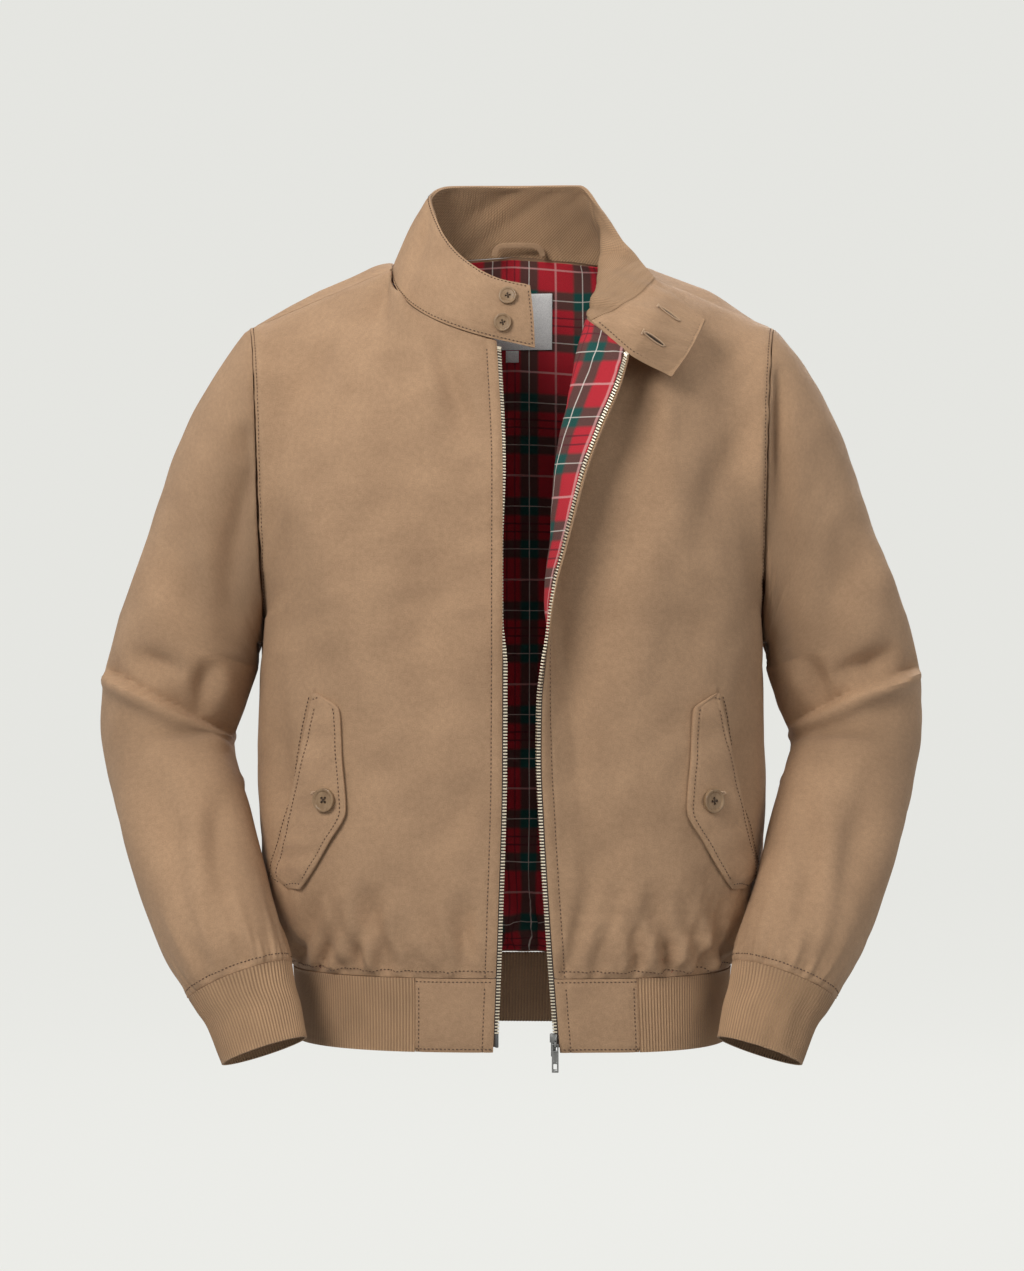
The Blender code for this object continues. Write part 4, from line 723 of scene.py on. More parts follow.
class Cloth:
    """A piece of cloth: its outer points, their normals, and its sizes in metres."""

    def __init__(self, name, grid, sign, closed=False):
        self.name, self.grid, self.sign, self.closed = name, np.array(grid), sign, closed
        self.base = self.grid
        steps = np.linalg.norm(np.diff(self.grid, axis=1), axis=-1)
        self.u = np.concatenate([np.zeros((len(self.grid), 1)), np.cumsum(steps, axis=1)], axis=1)
        self.width = self.u[:, -1:]
        middle = self.grid.shape[1] // 2
        self.v = np.repeat(lengths(self.grid[:, middle])[:, None], self.grid.shape[1], axis=1)
        self.uv = np.stack([self.u, self.v], axis=-1)
        self.find_normals()

    def find_normals(self):
        """Normals at every point, from its neighbours."""
        grid = self.grid
        if self.closed:
            wrapped = np.concatenate([grid[:, -2:-1], grid, grid[:, 1:2]], axis=1)
            sideways = wrapped[:, 2:] - wrapped[:, :-2]
        else:
            sideways = np.gradient(grid, axis=1)
        self.normals = unit(np.cross(sideways, np.gradient(grid, axis=0)) * self.sign)

    def borders(self):
        """Each point's distance from the first and last row, and first and last column."""
        down = np.linalg.norm(np.diff(self.grid, axis=0), axis=-1)
        low = np.concatenate([np.zeros((1, down.shape[1])), np.cumsum(down, axis=0)])
        return low, low[-1] - low, self.u, self.width - self.u

    def lift(self, amount):
        """Move the points out along their normals."""
        self.grid = self.grid + self.normals * np.broadcast_to(amount, self.u.shape)[..., None]
        self.find_normals()

    def layer(self, outer, inner, trims=(SEAM_TRIM,) * 4):
        """A thin closed mesh between two offsets, drawn in at its borders by the trims."""
        base = self.grid.copy()
        for rim, inside, trim in zip(((0,), (-1,), (slice(None), 0), (slice(None), -1)),
                                     ((1,), (-2,), (slice(None), 1), (slice(None), -2)), trims):
            if trim and not (self.closed and len(rim) == 2):
                base[rim] += trim * unit(base[inside] - base[rim])
        over = base + self.normals * np.broadcast_to(outer, self.u.shape)[..., None]
        under = base + self.normals * np.broadcast_to(inner, self.u.shape)[..., None]
        return over, under


def wall(name, over, under, uv, material, closed=False):
    """A closed thin mesh from its outer and inner points, joined round its borders."""
    rows, columns = over.shape[:2]
    if closed:
        over, under = over[:, :-1], under[:, :-1]
    across = over.shape[1]
    number = np.arange(rows * across).reshape(rows, across)
    if closed:
        number = np.concatenate([number, number[:, :1]], axis=1)
    corner = np.arange(rows * columns).reshape(rows, columns)
    quads, corners = [], []

    def add(a, b, c, d, ca, cb, cc, cd):
        quads.append(np.stack([a, b, c, d], axis=-1).reshape(-1, 4))
        corners.append(np.stack([ca, cb, cc, cd], axis=-1).reshape(-1, 4))

    lower = number + rows * across
    add(number[:-1, :-1], number[:-1, 1:], number[1:, 1:], number[1:, :-1],
        corner[:-1, :-1], corner[:-1, 1:], corner[1:, 1:], corner[1:, :-1])
    add(lower[:-1, :-1], lower[1:, :-1], lower[1:, 1:], lower[:-1, 1:],
        corner[:-1, :-1], corner[1:, :-1], corner[1:, 1:], corner[:-1, 1:])
    rims = [(number[0], lower[0], corner[0]), (number[-1][::-1], lower[-1][::-1], corner[-1][::-1])]
    if not closed:
        rims += [(number[::-1, 0], lower[::-1, 0], corner[::-1, 0]),
                 (number[:, -1], lower[:, -1], corner[:, -1])]
    for up, down, tag in rims:
        add(up[:-1], down[:-1], down[1:], up[1:], tag[:-1], tag[:-1], tag[1:], tag[1:])
    quads, corners = np.concatenate(quads), np.concatenate(corners)
    points = np.concatenate([over.reshape(-1, 3), under.reshape(-1, 3)])
    if outward(over, under):
        quads, corners = quads[:, ::-1], corners[:, ::-1]
    mesh = bpy.data.meshes.new(name + "_cloth")
    mesh.from_pydata(points.tolist(), [], quads.tolist())
    layer = mesh.uv_layers.new(name="UVMap")
    flat = uv.reshape(-1, 2)[corners.reshape(-1)]
    layer.data.foreach_set("uv", flat.astype(np.float32).ravel())
    mesh.shade_smooth()
    mesh.set_sharp_from_angle(angle=math.radians(50))
    mesh.materials.append(material)
    piece = bpy.data.objects.new(name + "_cloth", mesh)
    bpy.context.scene.collection.objects.link(piece)
    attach(piece, BODY)
    return piece


def outward(over, under):
    """Whether the first face of the outer layer has to be turned to face away from the inner."""
    a, b, c = over[0, 0], over[0, 1], over[1, 1]
    face = np.cross(b - a, c - a)
    return float(face @ (over[0, 0] - under[0, 0])) < 0


# ---------------------------------------------------------------- materials

class Value:
    """A number in a material. Sums and products of values add the nodes that work them out."""

    def __init__(self, finish, socket):
        self.finish, self.socket = finish, socket

    def maths(self, operation, *others):
        values = {0: self}
        for place, other in enumerate(others, start=1):
            values[place] = other
        return self.finish.node("ShaderNodeMath", {"operation": operation}, values)

    def __add__(self, other):
        return self.maths("ADD", other)

    def __sub__(self, other):
        return self.maths("SUBTRACT", other)

    def __rsub__(self, other):
        return self.maths("MULTIPLY", -1.0).maths("ADD", other)

    def __mul__(self, other):
        return self.maths("MULTIPLY", other)

    __radd__, __rmul__ = __add__, __mul__

    def wave(self, period):
        """A sine of the value, between -1 and 1."""
        return (self * (math.tau / period)).maths("SINE")

    def within(self, centre, half, edge):
        """1 where the value is within half of the centre, with a soft edge."""
        gap = (self - centre).maths("ABSOLUTE")
        return self.finish.clamp((half - gap) * (1 / edge) + 0.5)


class Finish:
    """A material with one Principled shader, and the method that makes its nodes."""

    def __init__(self, name, colour, roughness, metallic=0.0, sheen=0.0):
        self.material = bpy.data.materials.new(name)
        self.material.use_nodes = True
        self.tree = self.material.node_tree
        self.shader = self.tree.nodes["Principled BSDF"]
        self.shader.inputs["Base Color"].default_value = (*colour, 1)
        self.shader.inputs["Roughness"].default_value = roughness
        self.shader.inputs["Metallic"].default_value = metallic
        self.shader.inputs["Specular IOR Level"].default_value = 0.5 if metallic else 0.3
        self.shader.inputs["Sheen Weight"].default_value = sheen
        self.shader.inputs["Sheen Roughness"].default_value = 0.45
        self.shader.inputs["Sheen Tint"].default_value = (1.0, 0.93, 0.84, 1)

    def node(self, kind, settings=None, values=None, output=0):
        """Add a node, set it, join its sockets, and give one of its outputs as a Value."""
        made = self.tree.nodes.new(kind)
        for name, setting in (settings or {}).items():
            setattr(made, name, setting)
        for key, value in (values or {}).items():
            if isinstance(value, Value):
                self.tree.links.new(value.socket, made.inputs[key])
            else:
                made.inputs[key].default_value = value
        return Value(self, made.outputs[output])

    def clamp(self, value):
        return self.node("ShaderNodeClamp", None, {0: value})

    def uv(self):
        """Along the cloth and up the cloth, in metres."""
        place = self.node("ShaderNodeUVMap", {"uv_map": "UVMap"})
        parts = self.tree.nodes.new("ShaderNodeSeparateXYZ")
        self.tree.links.new(place.socket, parts.inputs[0])
        return place, Value(self, parts.outputs[0]), Value(self, parts.outputs[1])

    def place(self):
        return self.node("ShaderNodeTexCoord", None, None, "Object")

    def noise(self, vector, size, detail=2.0):
        """Noise between 0 and 1, with lumps of a size in metres."""
        return self.node("ShaderNodeTexNoise", None,
                         {"Vector": vector, "Scale": 1 / size, "Detail": detail}, "Fac")

    def blend(self, share, low, high, kind="MIX"):
        """A colour between two colours or colour values."""
        made = self.tree.nodes.new("ShaderNodeMix")
        made.data_type = "RGBA"
        made.blend_type = kind
        for socket, value in ((made.inputs[0], share), (made.inputs[6], low), (made.inputs[7], high)):
            if isinstance(value, Value):
                self.tree.links.new(value.socket, socket)
            elif socket == made.inputs[0]:
                socket.default_value = value
            else:
                socket.default_value = (*value, 1)
        return Value(self, made.outputs[2])

    def colour(self, value):
        self.tree.links.new(value.socket, self.shader.inputs["Base Color"])

    def roughness(self, value):
        self.tree.links.new(value.socket, self.shader.inputs["Roughness"])

    def bump(self, height, distance, strength=1.0):
        made = self.node("ShaderNodeBump", None,
                         {"Height": height, "Distance": distance, "Strength": strength})
        self.tree.links.new(made.socket, self.shader.inputs["Normal"])


def shade(colour, amount):
    """A colour made lighter or darker."""
    return tuple(part * amount for part in colour)


TAN = (0.425, 0.262, 0.148)
TAN_KNIT = (0.455, 0.278, 0.152)
TARTAN_RED, TARTAN_BROWN, TARTAN_GREEN = (0.60, 0.018, 0.034), (0.135, 0.050, 0.042), (0.005, 0.085, 0.070)
WHITE_YARN, PINK_YARN, DARK_YARN = (0.92, 0.84, 0.74), (0.85, 0.42, 0.40), (0.11, 0.010, 0.020)


def woven_tan(name="tan twill", colour=TAN):
    """Cotton twill: a fine diagonal rib, flecked yarns and soft worn patches."""
    finish = Finish(name, colour, 0.80, sheen=0.05)
    place, u, v = finish.uv()
    twill = (u + v * 1.4).wave(0.0009)
    yarns = u.wave(0.00055)
    fleck = finish.noise(place, 0.0011, 3.0)
    slub = finish.noise(place, 0.0045, 3.0)
    cloud = finish.noise(finish.place(), 0.045, 4.0)
    tone = finish.blend(finish.clamp(fleck * 1.8 - 0.4), shade(colour, 0.84), shade(colour, 1.14))
    slubs = finish.blend(finish.clamp(slub * 2.4 - 0.7), (0.93, 0.92, 0.91), (1.06, 1.06, 1.06))
    worn = finish.blend(finish.clamp(cloud * 2.6 - 0.8), (0.90, 0.89, 0.88), (1.07, 1.07, 1.07))
    tone = finish.blend(1.0, tone, slubs, "MULTIPLY")
    finish.colour(finish.blend(1.0, tone, worn, "MULTIPLY"))
    finish.roughness(fleck * 0.15 + 0.72)
    finish.bump(twill * 0.35 + yarns * 0.15 + fleck * 1.1 + slub * 1.6, 0.00020)
    return finish.material


def rib_knit():
    """Fine rib knit: rows of small stitches on the ribs, with painted shade between them."""
    finish = Finish("tan rib knit", TAN_KNIT, 0.88, sheen=0.06)
    place, u, v = finish.uv()
    crown = u.wave(RIB_PITCH) * 0.5 + 0.5
    stitch = (v + u.wave(RIB_PITCH / 2) * 0.0003).wave(0.0011)
    fleck = finish.noise(place, 0.0009, 3.0)
    cloud = finish.noise(finish.place(), 0.03, 3.0)
    tone = finish.blend(finish.clamp(fleck * 1.4 - 0.2), shade(TAN_KNIT, 0.84), shade(TAN_KNIT, 1.12))
    # ridge: the colour is darkened between the ribs as painted shade in their troughs.
    ridge = finish.blend(crown, (0.68, 0.66, 0.64), (1.10, 1.10, 1.10))
    worn = finish.blend(finish.clamp(cloud * 2.4 - 0.7), (0.90, 0.90, 0.90), (1.05, 1.05, 1.05))
    tone = finish.blend(1.0, tone, ridge, "MULTIPLY")
    finish.colour(finish.blend(1.0, tone, worn, "MULTIPLY"))
    finish.roughness(crown * 0.05 + 0.82)
    finish.bump(stitch * 0.5 + fleck * 0.6, 0.00025)
    return finish.material


def tartan_bands(along, repeat, thin, dark_half):
    """Where one set of yarns has its dark bands, dark lines, white lines and pink lines."""
    turns = (along * (1 / repeat)).maths("FRACT")
    from_pink = (turns - 0.5).maths("ABSOLUTE") * repeat
    middle = repeat / 2
    return (from_pink.within(thin, dark_half, 0.0026), from_pink.within(middle - 0.0036, 0.0007, 0.0007),
            from_pink.within(thin, 0.0004, 0.0005), from_pink.within(0.0, 0.0009, 0.0006))


def tartan(name, shift_u, shift_v, light=1.0):
    """Brushed check cotton: red, brown where one set of yarns is dark, green where both are. A light below 1
    darkens every colour as painted shade.
    """
    finish = Finish(name, TARTAN_RED, 0.88, sheen=0.04)
    place, u, v = finish.uv()
    warp_dark, warp_line, warp_white, warp_pink = tartan_bands(u + shift_u, 0.0810, 0.0240, 0.0080)
    weft_dark, weft_line, weft_white, weft_pink = tartan_bands(v + shift_v, 0.0935, 0.0276, 0.0082)
    nap = finish.noise(place, 0.0016, 3.0)
    both = warp_dark * weft_dark
    tone = finish.blend(warp_dark + weft_dark - both, shade(TARTAN_RED, light), shade(TARTAN_BROWN, light))
    tone = finish.blend(both, tone, shade(TARTAN_GREEN, light))
    for share, yarn in ((warp_line * 0.60, DARK_YARN), (weft_line * 0.75, DARK_YARN),
                        (warp_pink * 0.62, PINK_YARN), (weft_pink * 0.70, PINK_YARN),
                        (warp_white * 0.85, WHITE_YARN), (weft_white * 0.72, WHITE_YARN)):
        tone = finish.blend(share, tone, shade(yarn, light))
    fleck = finish.noise(place, 0.0010, 3.0)
    weave = (u + v).wave(0.0012) * 0.5 + 0.5
    nap = finish.clamp(fleck * 1.2 - 0.2 + weave * 0.2)
    brushed = finish.blend(nap, (0.74, 0.74, 0.74), (1.18, 1.18, 1.18))
    finish.colour(finish.blend(1.0, tone, brushed, "MULTIPLY"))
    finish.bump((u + v).wave(0.0008) * 0.3 + fleck + nap, 0.00020)
    return finish.material


def metal(name, colour, roughness):
    """Plated metal with small scratches and worn patches."""
    finish = Finish(name, colour, roughness, metallic=1.0)
    cloud = finish.noise(finish.place(), 0.0022, 4.0)
    finish.colour(finish.blend(cloud, shade(colour, 0.72), shade(colour, 1.22)))
    finish.roughness(cloud * 0.3 + (roughness - 0.12))
    finish.bump(finish.noise(finish.place(), 0.0006, 2.0), 0.00004)
    return finish.material


def horn():
    """Mottled horn with a polished face."""
    finish = Finish("horn", (0.40, 0.24, 0.11), 0.28)
    vector = finish.node("ShaderNodeMapping", None,
                         {"Vector": finish.place(), "Scale": (1.0, 1.0, 0.35)})
    grain = finish.noise(vector, 0.0035, 4.0)
    tone = finish.blend(finish.clamp(grain * 2.0 - 0.5), (0.20, 0.122, 0.064), (0.31, 0.200, 0.110))
    finish.colour(tone)
    finish.roughness(grain * 0.2 + 0.18)
    finish.bump(finish.noise(finish.place(), 0.0008, 2.0), 0.00003)
    return finish.material


def plain_yarn(name, colour, size=0.0006, depth=0.0001, roughness=0.85):
    """Thread, tape and label cloth: a fine weave with flecks."""
    finish = Finish(name, colour, roughness, sheen=0.1)
    fleck = finish.noise(finish.place(), size, 3.0)
    finish.colour(finish.blend(finish.clamp(fleck * 2.0 - 0.5), shade(colour, 0.80), shade(colour, 1.15)))
    finish.bump(fleck, depth)
    return finish.material


WOVEN = woven_tan()
KNIT = rib_knit()
CHECK_BACK = tartan("check lining of the back", CHECK_SHIFT["back"][0], CHECK_SHIFT["back"][1])
# The left front's lining is the same check made darker by a light of 0.80, as painted shade.
CHECK_LEFT_PAINTED_SHADE = tartan("check lining of the left front", CHECK_SHIFT["left"][0], CHECK_SHIFT["left"][1], 0.80)
CHECK_RIGHT = tartan("check lining of the right front", CHECK_SHIFT["right"][0], CHECK_SHIFT["right"][1])
# The stitch thread is real, but its dark brown paints the shade of the dimples that the stitches pull into
# the cloth.
THREAD_DARKENED_AS_SHADE = plain_yarn("tan thread", (0.125, 0.072, 0.040), 0.0004, 0.00005)
PALE_THREAD = plain_yarn("pale thread", (0.56, 0.38, 0.24), 0.0004, 0.00005)
# Very dark brown: the buttonholes' slits are sheets of painted shade, and the buttons' crossed thread is made
# this dark to paint the shade in their holes.
HOLE_SHADE_AND_THREAD = plain_yarn("brown thread", (0.045, 0.026, 0.015), 0.0004, 0.00005)
TAPE_CLOTH = plain_yarn("brown tape", (0.055, 0.040, 0.031), 0.0007)
LABEL_CLOTH = plain_yarn("white label cloth", (0.92, 0.91, 0.88), 0.0008)
GUNMETAL = metal("gunmetal", (0.19, 0.19, 0.185), 0.38)
DARK_METAL = metal("dark metal", (0.10, 0.10, 0.10), 0.42)
TEETH_METAL = metal("pale brass teeth", (0.72, 0.64, 0.50), 0.38)
HORN = horn()


# ---------------------------------------------------------------- folds and gathers

def rounded(fold):
    """A fold's line with its corners cut twice, so that it bends softly."""
    line = np.array(fold)
    for _ in range(2):
        near, far = mix(line[:-1], line[1:], 0.25), mix(line[:-1], line[1:], 0.75)
        middle = np.stack([near, far], axis=1).reshape(-1, line.shape[1])
        line = np.concatenate([line[:1], middle[1:-1], line[-1:]])
    return line


def folded(cloth, folds, facing=0.0, crisp=False):
    """How far folds push the cloth out: each is a row of (x, z, half width, height) points.

    A soft fold is a hollow or a swell with a low shoulder on one side of it. A crisp one is
    an edge that hangs over a hollow above it, with a rounded roll below.
    """
    x, z = cloth.grid[..., 0], cloth.grid[..., 2]
    total = np.zeros_like(x)
    for fold in folds:
        line = rounded(fold)
        nearest = np.full_like(x, 9.0)
        best = np.zeros_like(x)
        lean = np.sign(line[-1, 0] - line[0, 0]) or 1.0
        for (sx, sz, *start), (ex, ez, *end) in zip(line, line[1:]):
            dx, dz = ex - sx, ez - sz
            share = np.clip(((x - sx) * dx + (z - sz) * dz) / (dx * dx + dz * dz), 0, 1)
            gap = np.hypot(x - sx - share * dx, z - sz - share * dz)
            side = np.sign((x - sx) * dz - (z - sz) * dx) * lean
            width, height = mix(start[0], end[0], share), mix(start[1], end[1], share)
            away = gap / width * side
            if crisp:
                hollow = np.clip(0.35 - away / 0.5, 0, 1) * np.exp(np.minimum(away, 0) / 1.5)
                push = height * (hollow - 0.45 * np.exp(-((away - 0.7) / 0.9) ** 2))
            else:
                push = height * (np.exp(-away ** 2) - 0.5 * np.exp(-((away - 1.8) / 1.0) ** 2))
            best = np.where(gap < nearest, push, best)
            nearest = np.minimum(gap, nearest)
        total += best
    if not crisp:
        total *= FOLD_DEPTH
    if facing:
        total *= smooth(0.05, 0.45, cloth.normals[..., 1] * facing)
    return total


def inside_borders(cloth, width=0.010):
    """1 inside a piece and 0 at its borders, so that seams stay closed."""
    fade = 1.0
    low, high, first, last = cloth.borders()
    for distance in (low, high) if cloth.closed else (low, high, first, last):
        fade = fade * smooth(0.0, width, distance)
    return fade


def gathers(distance, along, depth, reach, seed, pitch=0.024):
    """Puckers that start at a seam and die away from it."""
    grow = (distance / (reach * 0.30)) * np.exp(1 - distance / (reach * 0.30))
    broad = waves(along, distance * 0.25, pitch, seed)
    return depth * grow * (broad + 0.3 * waves(along, distance, pitch / 2, seed + 1))


def seam_dip(cloth, depth=0.0011, width=0.0019):
    """The cloth turns in at its seams."""
    dip = 0.0
    low, high, first, last = cloth.borders()
    for distance in (low, high) if cloth.closed else (low, high, first, last):
        dip = dip - depth * np.exp(-(distance / width) ** 2)
    return dip


def groove(distance, place, depth=0.0007, width=0.0015):
    """The shallow channel that a row of stitches pulls into the cloth."""
    return -depth * np.exp(-((distance - place) / width) ** 2)


def uneven(cloth, seed, amount=0.0017):
    """Cloth is never quite even: long soft swells and a few short ones."""
    u, v = cloth.u, cloth.v
    return amount * (waves(u, v * 0.6, 0.11, seed) + 0.30 * waves(u, v, 0.035, seed + 7))


def on_cloth(cloth, points):
    """The nearest places on a cloth to some points, with the cloth's normals there."""
    flat, outs = cloth.grid.reshape(-1, 3), cloth.normals.reshape(-1, 3)
    picks = [int(np.argmin(((flat - point) ** 2).sum(axis=1))) for point in points]
    found = points + outs[picks] * ((flat[picks] - points) * outs[picks]).sum(axis=1)[:, None]
    return found, outs[picks]


# ---------------------------------------------------------------- stitches and small things

def stitches(name, runs, material, pitch=0.0034, length=0.0021, half=0.00050):
    """Rows of small thread beads along paths. A run is its points and the outward normals."""
    ring = np.array([(-0.5, 0, 0), (-0.28, 1, 0.2), (-0.28, 0, 1), (-0.28, -1, 0.2),
                     (0.28, 1, 0.2), (0.28, 0, 1), (0.28, -1, 0.2), (0.5, 0, 0)])
    faces = np.array([(0, 2, 1), (0, 3, 2), (1, 2, 4), (2, 5, 4), (2, 3, 5), (3, 6, 5),
                      (4, 5, 7), (5, 6, 7), (0, 1, 3), (1, 4, 3), (4, 6, 3), (4, 7, 6)])
    points, polygons = [], []
    for path, normals in runs:
        reach = lengths(path)
        marks = np.arange(pitch / 2, reach[-1] - pitch / 2, pitch)
        if not len(marks):
            continue
        middle = along_path(path, marks)
        ahead = unit(along_path(path, marks + 0.0004) - along_path(path, marks - 0.0004))
        out = unit(np.stack([np.interp(marks, reach, normals[:, k]) for k in range(3)], axis=-1))
        across = unit(np.cross(out, ahead))
        for centre, forward, side, up in zip(middle, ahead, across, out):
            base = len(points) * len(ring)
            points.append(centre + np.outer(ring[:, 0], forward) * length
                          + np.outer(ring[:, 1], side) * half + np.outer(ring[:, 2], up) * half * 1.3)
            polygons.append(faces + base)
    return from_points(name, np.concatenate(points), np.concatenate(polygons), material)


def from_points(name, points, polygons, material, body=BODY):
    """A mesh object from points and faces."""
    mesh = bpy.data.meshes.new(name)
    mesh.from_pydata(np.asarray(points).tolist(), [], [tuple(int(k) for k in face) for face in polygons])
    work = bmesh.new()
    work.from_mesh(mesh)
    bmesh.ops.recalc_face_normals(work, faces=work.faces)
    work.to_mesh(mesh)
    work.free()
    mesh.shade_smooth()
    mesh.materials.append(material)
    piece = bpy.data.objects.new(name, mesh)
    bpy.context.scene.collection.objects.link(piece)
    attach(piece, body)
    return piece


def border_run(cloth, border, distance, start=0.0, end=1.0, raised=0.0):
    """A path on the cloth at a distance from a border, with its normals."""
    grid, normals = cloth.grid, cloth.normals
    points, outs = [], []
    if border in ("first", "last"):
        rows = range(int(start * (len(grid) - 1)), int(end * (len(grid) - 1)) + 1)
        for row in rows:
            reach = cloth.u[row]
            mark = distance if border == "first" else reach[-1] - distance
            points.append([np.interp(mark, reach, grid[row, :, k]) for k in range(3)])
            outs.append([np.interp(mark, reach, normals[row, :, k]) for k in range(3)])
    else:
        last = grid.shape[1] - 1
        for column in range(int(start * last), int(end * last) + 1):
            reach = lengths(grid[:, column])
            mark = distance if border == "low" else reach[-1] - distance
            points.append([np.interp(mark, reach, grid[:, column, k]) for k in range(3)])
            outs.append([np.interp(mark, reach, normals[:, column, k]) for k in range(3)])
    points, outs = np.array(points), unit(np.array(outs))
    return points + outs * raised, outs


SHEETS = []


def declare(piece, node, held, flat=None):
    """Hide the part that a cloth piece stands for, and keep the piece with how it is held and the size it was
    cut to.
    """
    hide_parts(node)
    SHEETS.append((piece, held, flat))


def sheet_piece(cloth, outer, inner, material, node=None, held="hung", uv=None,
                trims=(SEAM_TRIM,) * 4):
    over, under = cloth.layer(outer, inner, trims)
    piece = wall(cloth.name, over, under, cloth.uv if uv is None else uv, material, cloth.closed)
    width = float(cloth.width.mean())
    length = float(lengths(cloth.grid[:, cloth.grid.shape[1] // 2])[-1])
    declare(piece, node or cloth.name, held, (width, length))
    return piece


# ---------------------------------------------------------------- the cloth pieces


def make_body():
    """The fronts and the back, with their linings on the same folds."""
    cloths = {}
    rows = {"front_right": body_rows(RIGHT), "front_left": body_rows(LEFT)}
    half_right, half_left = body_rows(RIGHT, back=True), body_rows(LEFT, back=True)
    for name, side, sign in (("front_right", RIGHT, 1), ("front_left", LEFT, -1)):
        cloth = Cloth(name, respaced(rows[name], EDGE_MARKS, SIDE_MARKS), sign)
        low, _, first, last = cloth.borders()
        height = cloth.grid[..., 2]
        inside = inside_borders(cloth)
        away_from_edge = smooth(0.010, 0.030, last)
        push = folded(cloth, FRONT_FOLDS[side]) * inside * away_from_edge
        push = push + uneven(cloth, 3 + side) * inside
        push = push + gathers(low, cloth.u, GATHER_DEPTH, 0.070, 31 + side) * smooth(0.0, 0.02, last)
        fine = gathers(low, cloth.u, *PUCKER, 35 + side, PUCKER_PITCH)
        push = push + fine * smooth(0.0, 0.02, last)
        push = push + folded(cloth, pleats(HEM_PLEATS[side], HEM_SEAM)) * smooth(0.0, 0.0025, low)
        near_placket = np.exp(-((last - PLACKET) / 0.006) ** 2)
        push = push + 0.0004 * waves(cloth.u * 0, height, 0.030, 40 + side) * near_placket
        arm = smooth(UNDERARM_Z - 0.02, UNDERARM_Z + 0.02, height)
        push = push + groove(last, PLACKET) + arm * groove(first, ARM_STITCH) + groove(low, HEM_STITCH)
        push = push + folded(cloth, [pocket_seam(side)]) + seam_dip(cloth)
        near_arm = arm * np.exp(-(first / 0.010) ** 2)
        push = push + near_arm * 0.0007 * waves(first * 0, height, 0.016, 50 + side)
        cloth.lift(push)
        cloths[name] = cloth
    right, left = respaced(half_right, (), SIDE_MARKS), respaced(half_left, (), SIDE_MARKS)
    back = Cloth("back", np.concatenate([right, left[:, ::-1][:, 1:]], axis=1), -1)
    low, _, first, last = back.borders()
    inside = inside_borders(back)
    push = folded(back, BACK_FOLDS) * inside + uneven(back, 8, 0.0016) * inside
    push = push + gathers(low, back.u, GATHER_DEPTH, 0.075, 61)
    push = push + gathers(low, back.u, *PUCKER, 65, PUCKER_PITCH)
    arm = smooth(UNDERARM_Z - 0.02, UNDERARM_Z + 0.02, back.grid[..., 2])
    push = push + arm * (groove(first, ARM_STITCH) + groove(last, ARM_STITCH))
    push = push + groove(low, HEM_STITCH) + seam_dip(back)
    back.lift(push)
    cloths["back"] = back
    sizes = {name: (cloth.width - cloth.u, cloth.grid[..., 2]) for name, cloth in cloths.items()}
    middle = back.grid.shape[1] // 2
    sizes["back"] = (back.u - back.u[:, middle:middle + 1], back.v)
    for name, cloth in cloths.items():
        uv = np.stack(sizes[name], axis=-1)
        sheet_piece(cloth, 0, -SHELL, WOVEN, uv=uv,
                    trims=(SEAM_TRIM, 3 * SEAM_TRIM, SEAM_TRIM, SEAM_TRIM))
        make_seam_tape(cloth, "high")
        make_seam_tape(cloth, "low")
        check = {"front_right": CHECK_RIGHT, "front_left": CHECK_LEFT_PAINTED_SHADE, "back": CHECK_BACK}[name]
        make_lining(cloth, uv, check)
    return cloths, rows, (half_right, half_left)


def pocket_seam(side):
    """The narrow channel where the flap is sewn into the front."""
    return [((sewn + POCKET_SHIFT[side] + SEAM_BESIDE_FLAP) * side, height, 0.0020, -0.0006)
            for height, sewn, _ in POCKET_FLAP]


def pleats(places, foot):
    """Short pinched folds that rise from a seam: x, length, lean and depth of each."""
    return [((x, foot, 0.0030, -depth), (x + lean * 0.6, foot + length * 0.5, 0.0042, -depth),
             (x + lean, foot + length, 0.0060, 0.0)) for x, length, lean, depth in places]


def make_seam_tape(cloth, border):
    """The allowance of a panel's seam at its top or its hem, between the panel and its lining."""
    inner, out = border_run(cloth, border, 0.0050)
    edge, _ = border_run(cloth, border, 0.0)
    tape = Cloth(f"{cloth.name}_{border}_seam", [inner, edge, edge + (edge - inner) * 0.22], cloth.sign)
    tape.normals = np.stack([out] * 3)
    over, under = tape.layer(-SHELL - GAP * 0.15, -SHELL - GAP * 0.85, (0,) * 4)
    wall(tape.name, over, under, tape.uv, WOVEN)


def make_lining(cloth, uv, check):
    """The check lining just inside a panel, on every second row and column of it."""
    name = "lining_" + cloth.name
    if cloth.name == "back":
        keep = np.arange(cloth.grid.shape[1])
    else:
        keep = np.arange(cloth.grid.shape[1] - EDGE_LINING_SKIP)
    keep = np.unique(np.append(keep[::2], keep[-1]))
    rows = np.unique(np.append(np.arange(len(cloth.grid))[::2], len(cloth.grid) - 1))
    lining = Cloth(name, cloth.grid[np.ix_(rows, keep)], cloth.sign)
    lining.normals = cloth.normals[np.ix_(rows, keep)]
    hem = lining.borders()[0]
    slack = SHELL + GAP + HEM_SLACK * smooth(0.004, 0.012, hem) * np.exp(-(hem / 0.045) ** 2)
    over, under = lining.layer(-slack, -slack - LINING,
                               (SEAM_TRIM, 5 * SEAM_TRIM, SEAM_TRIM, SEAM_TRIM))
    piece = wall(name, over, under, uv[np.ix_(rows, keep)], check)
    width = float(lining.width.mean())
    length = float(lengths(lining.grid[:, len(keep) // 2])[-1])
    declare(piece, name, "hung", (width, length))


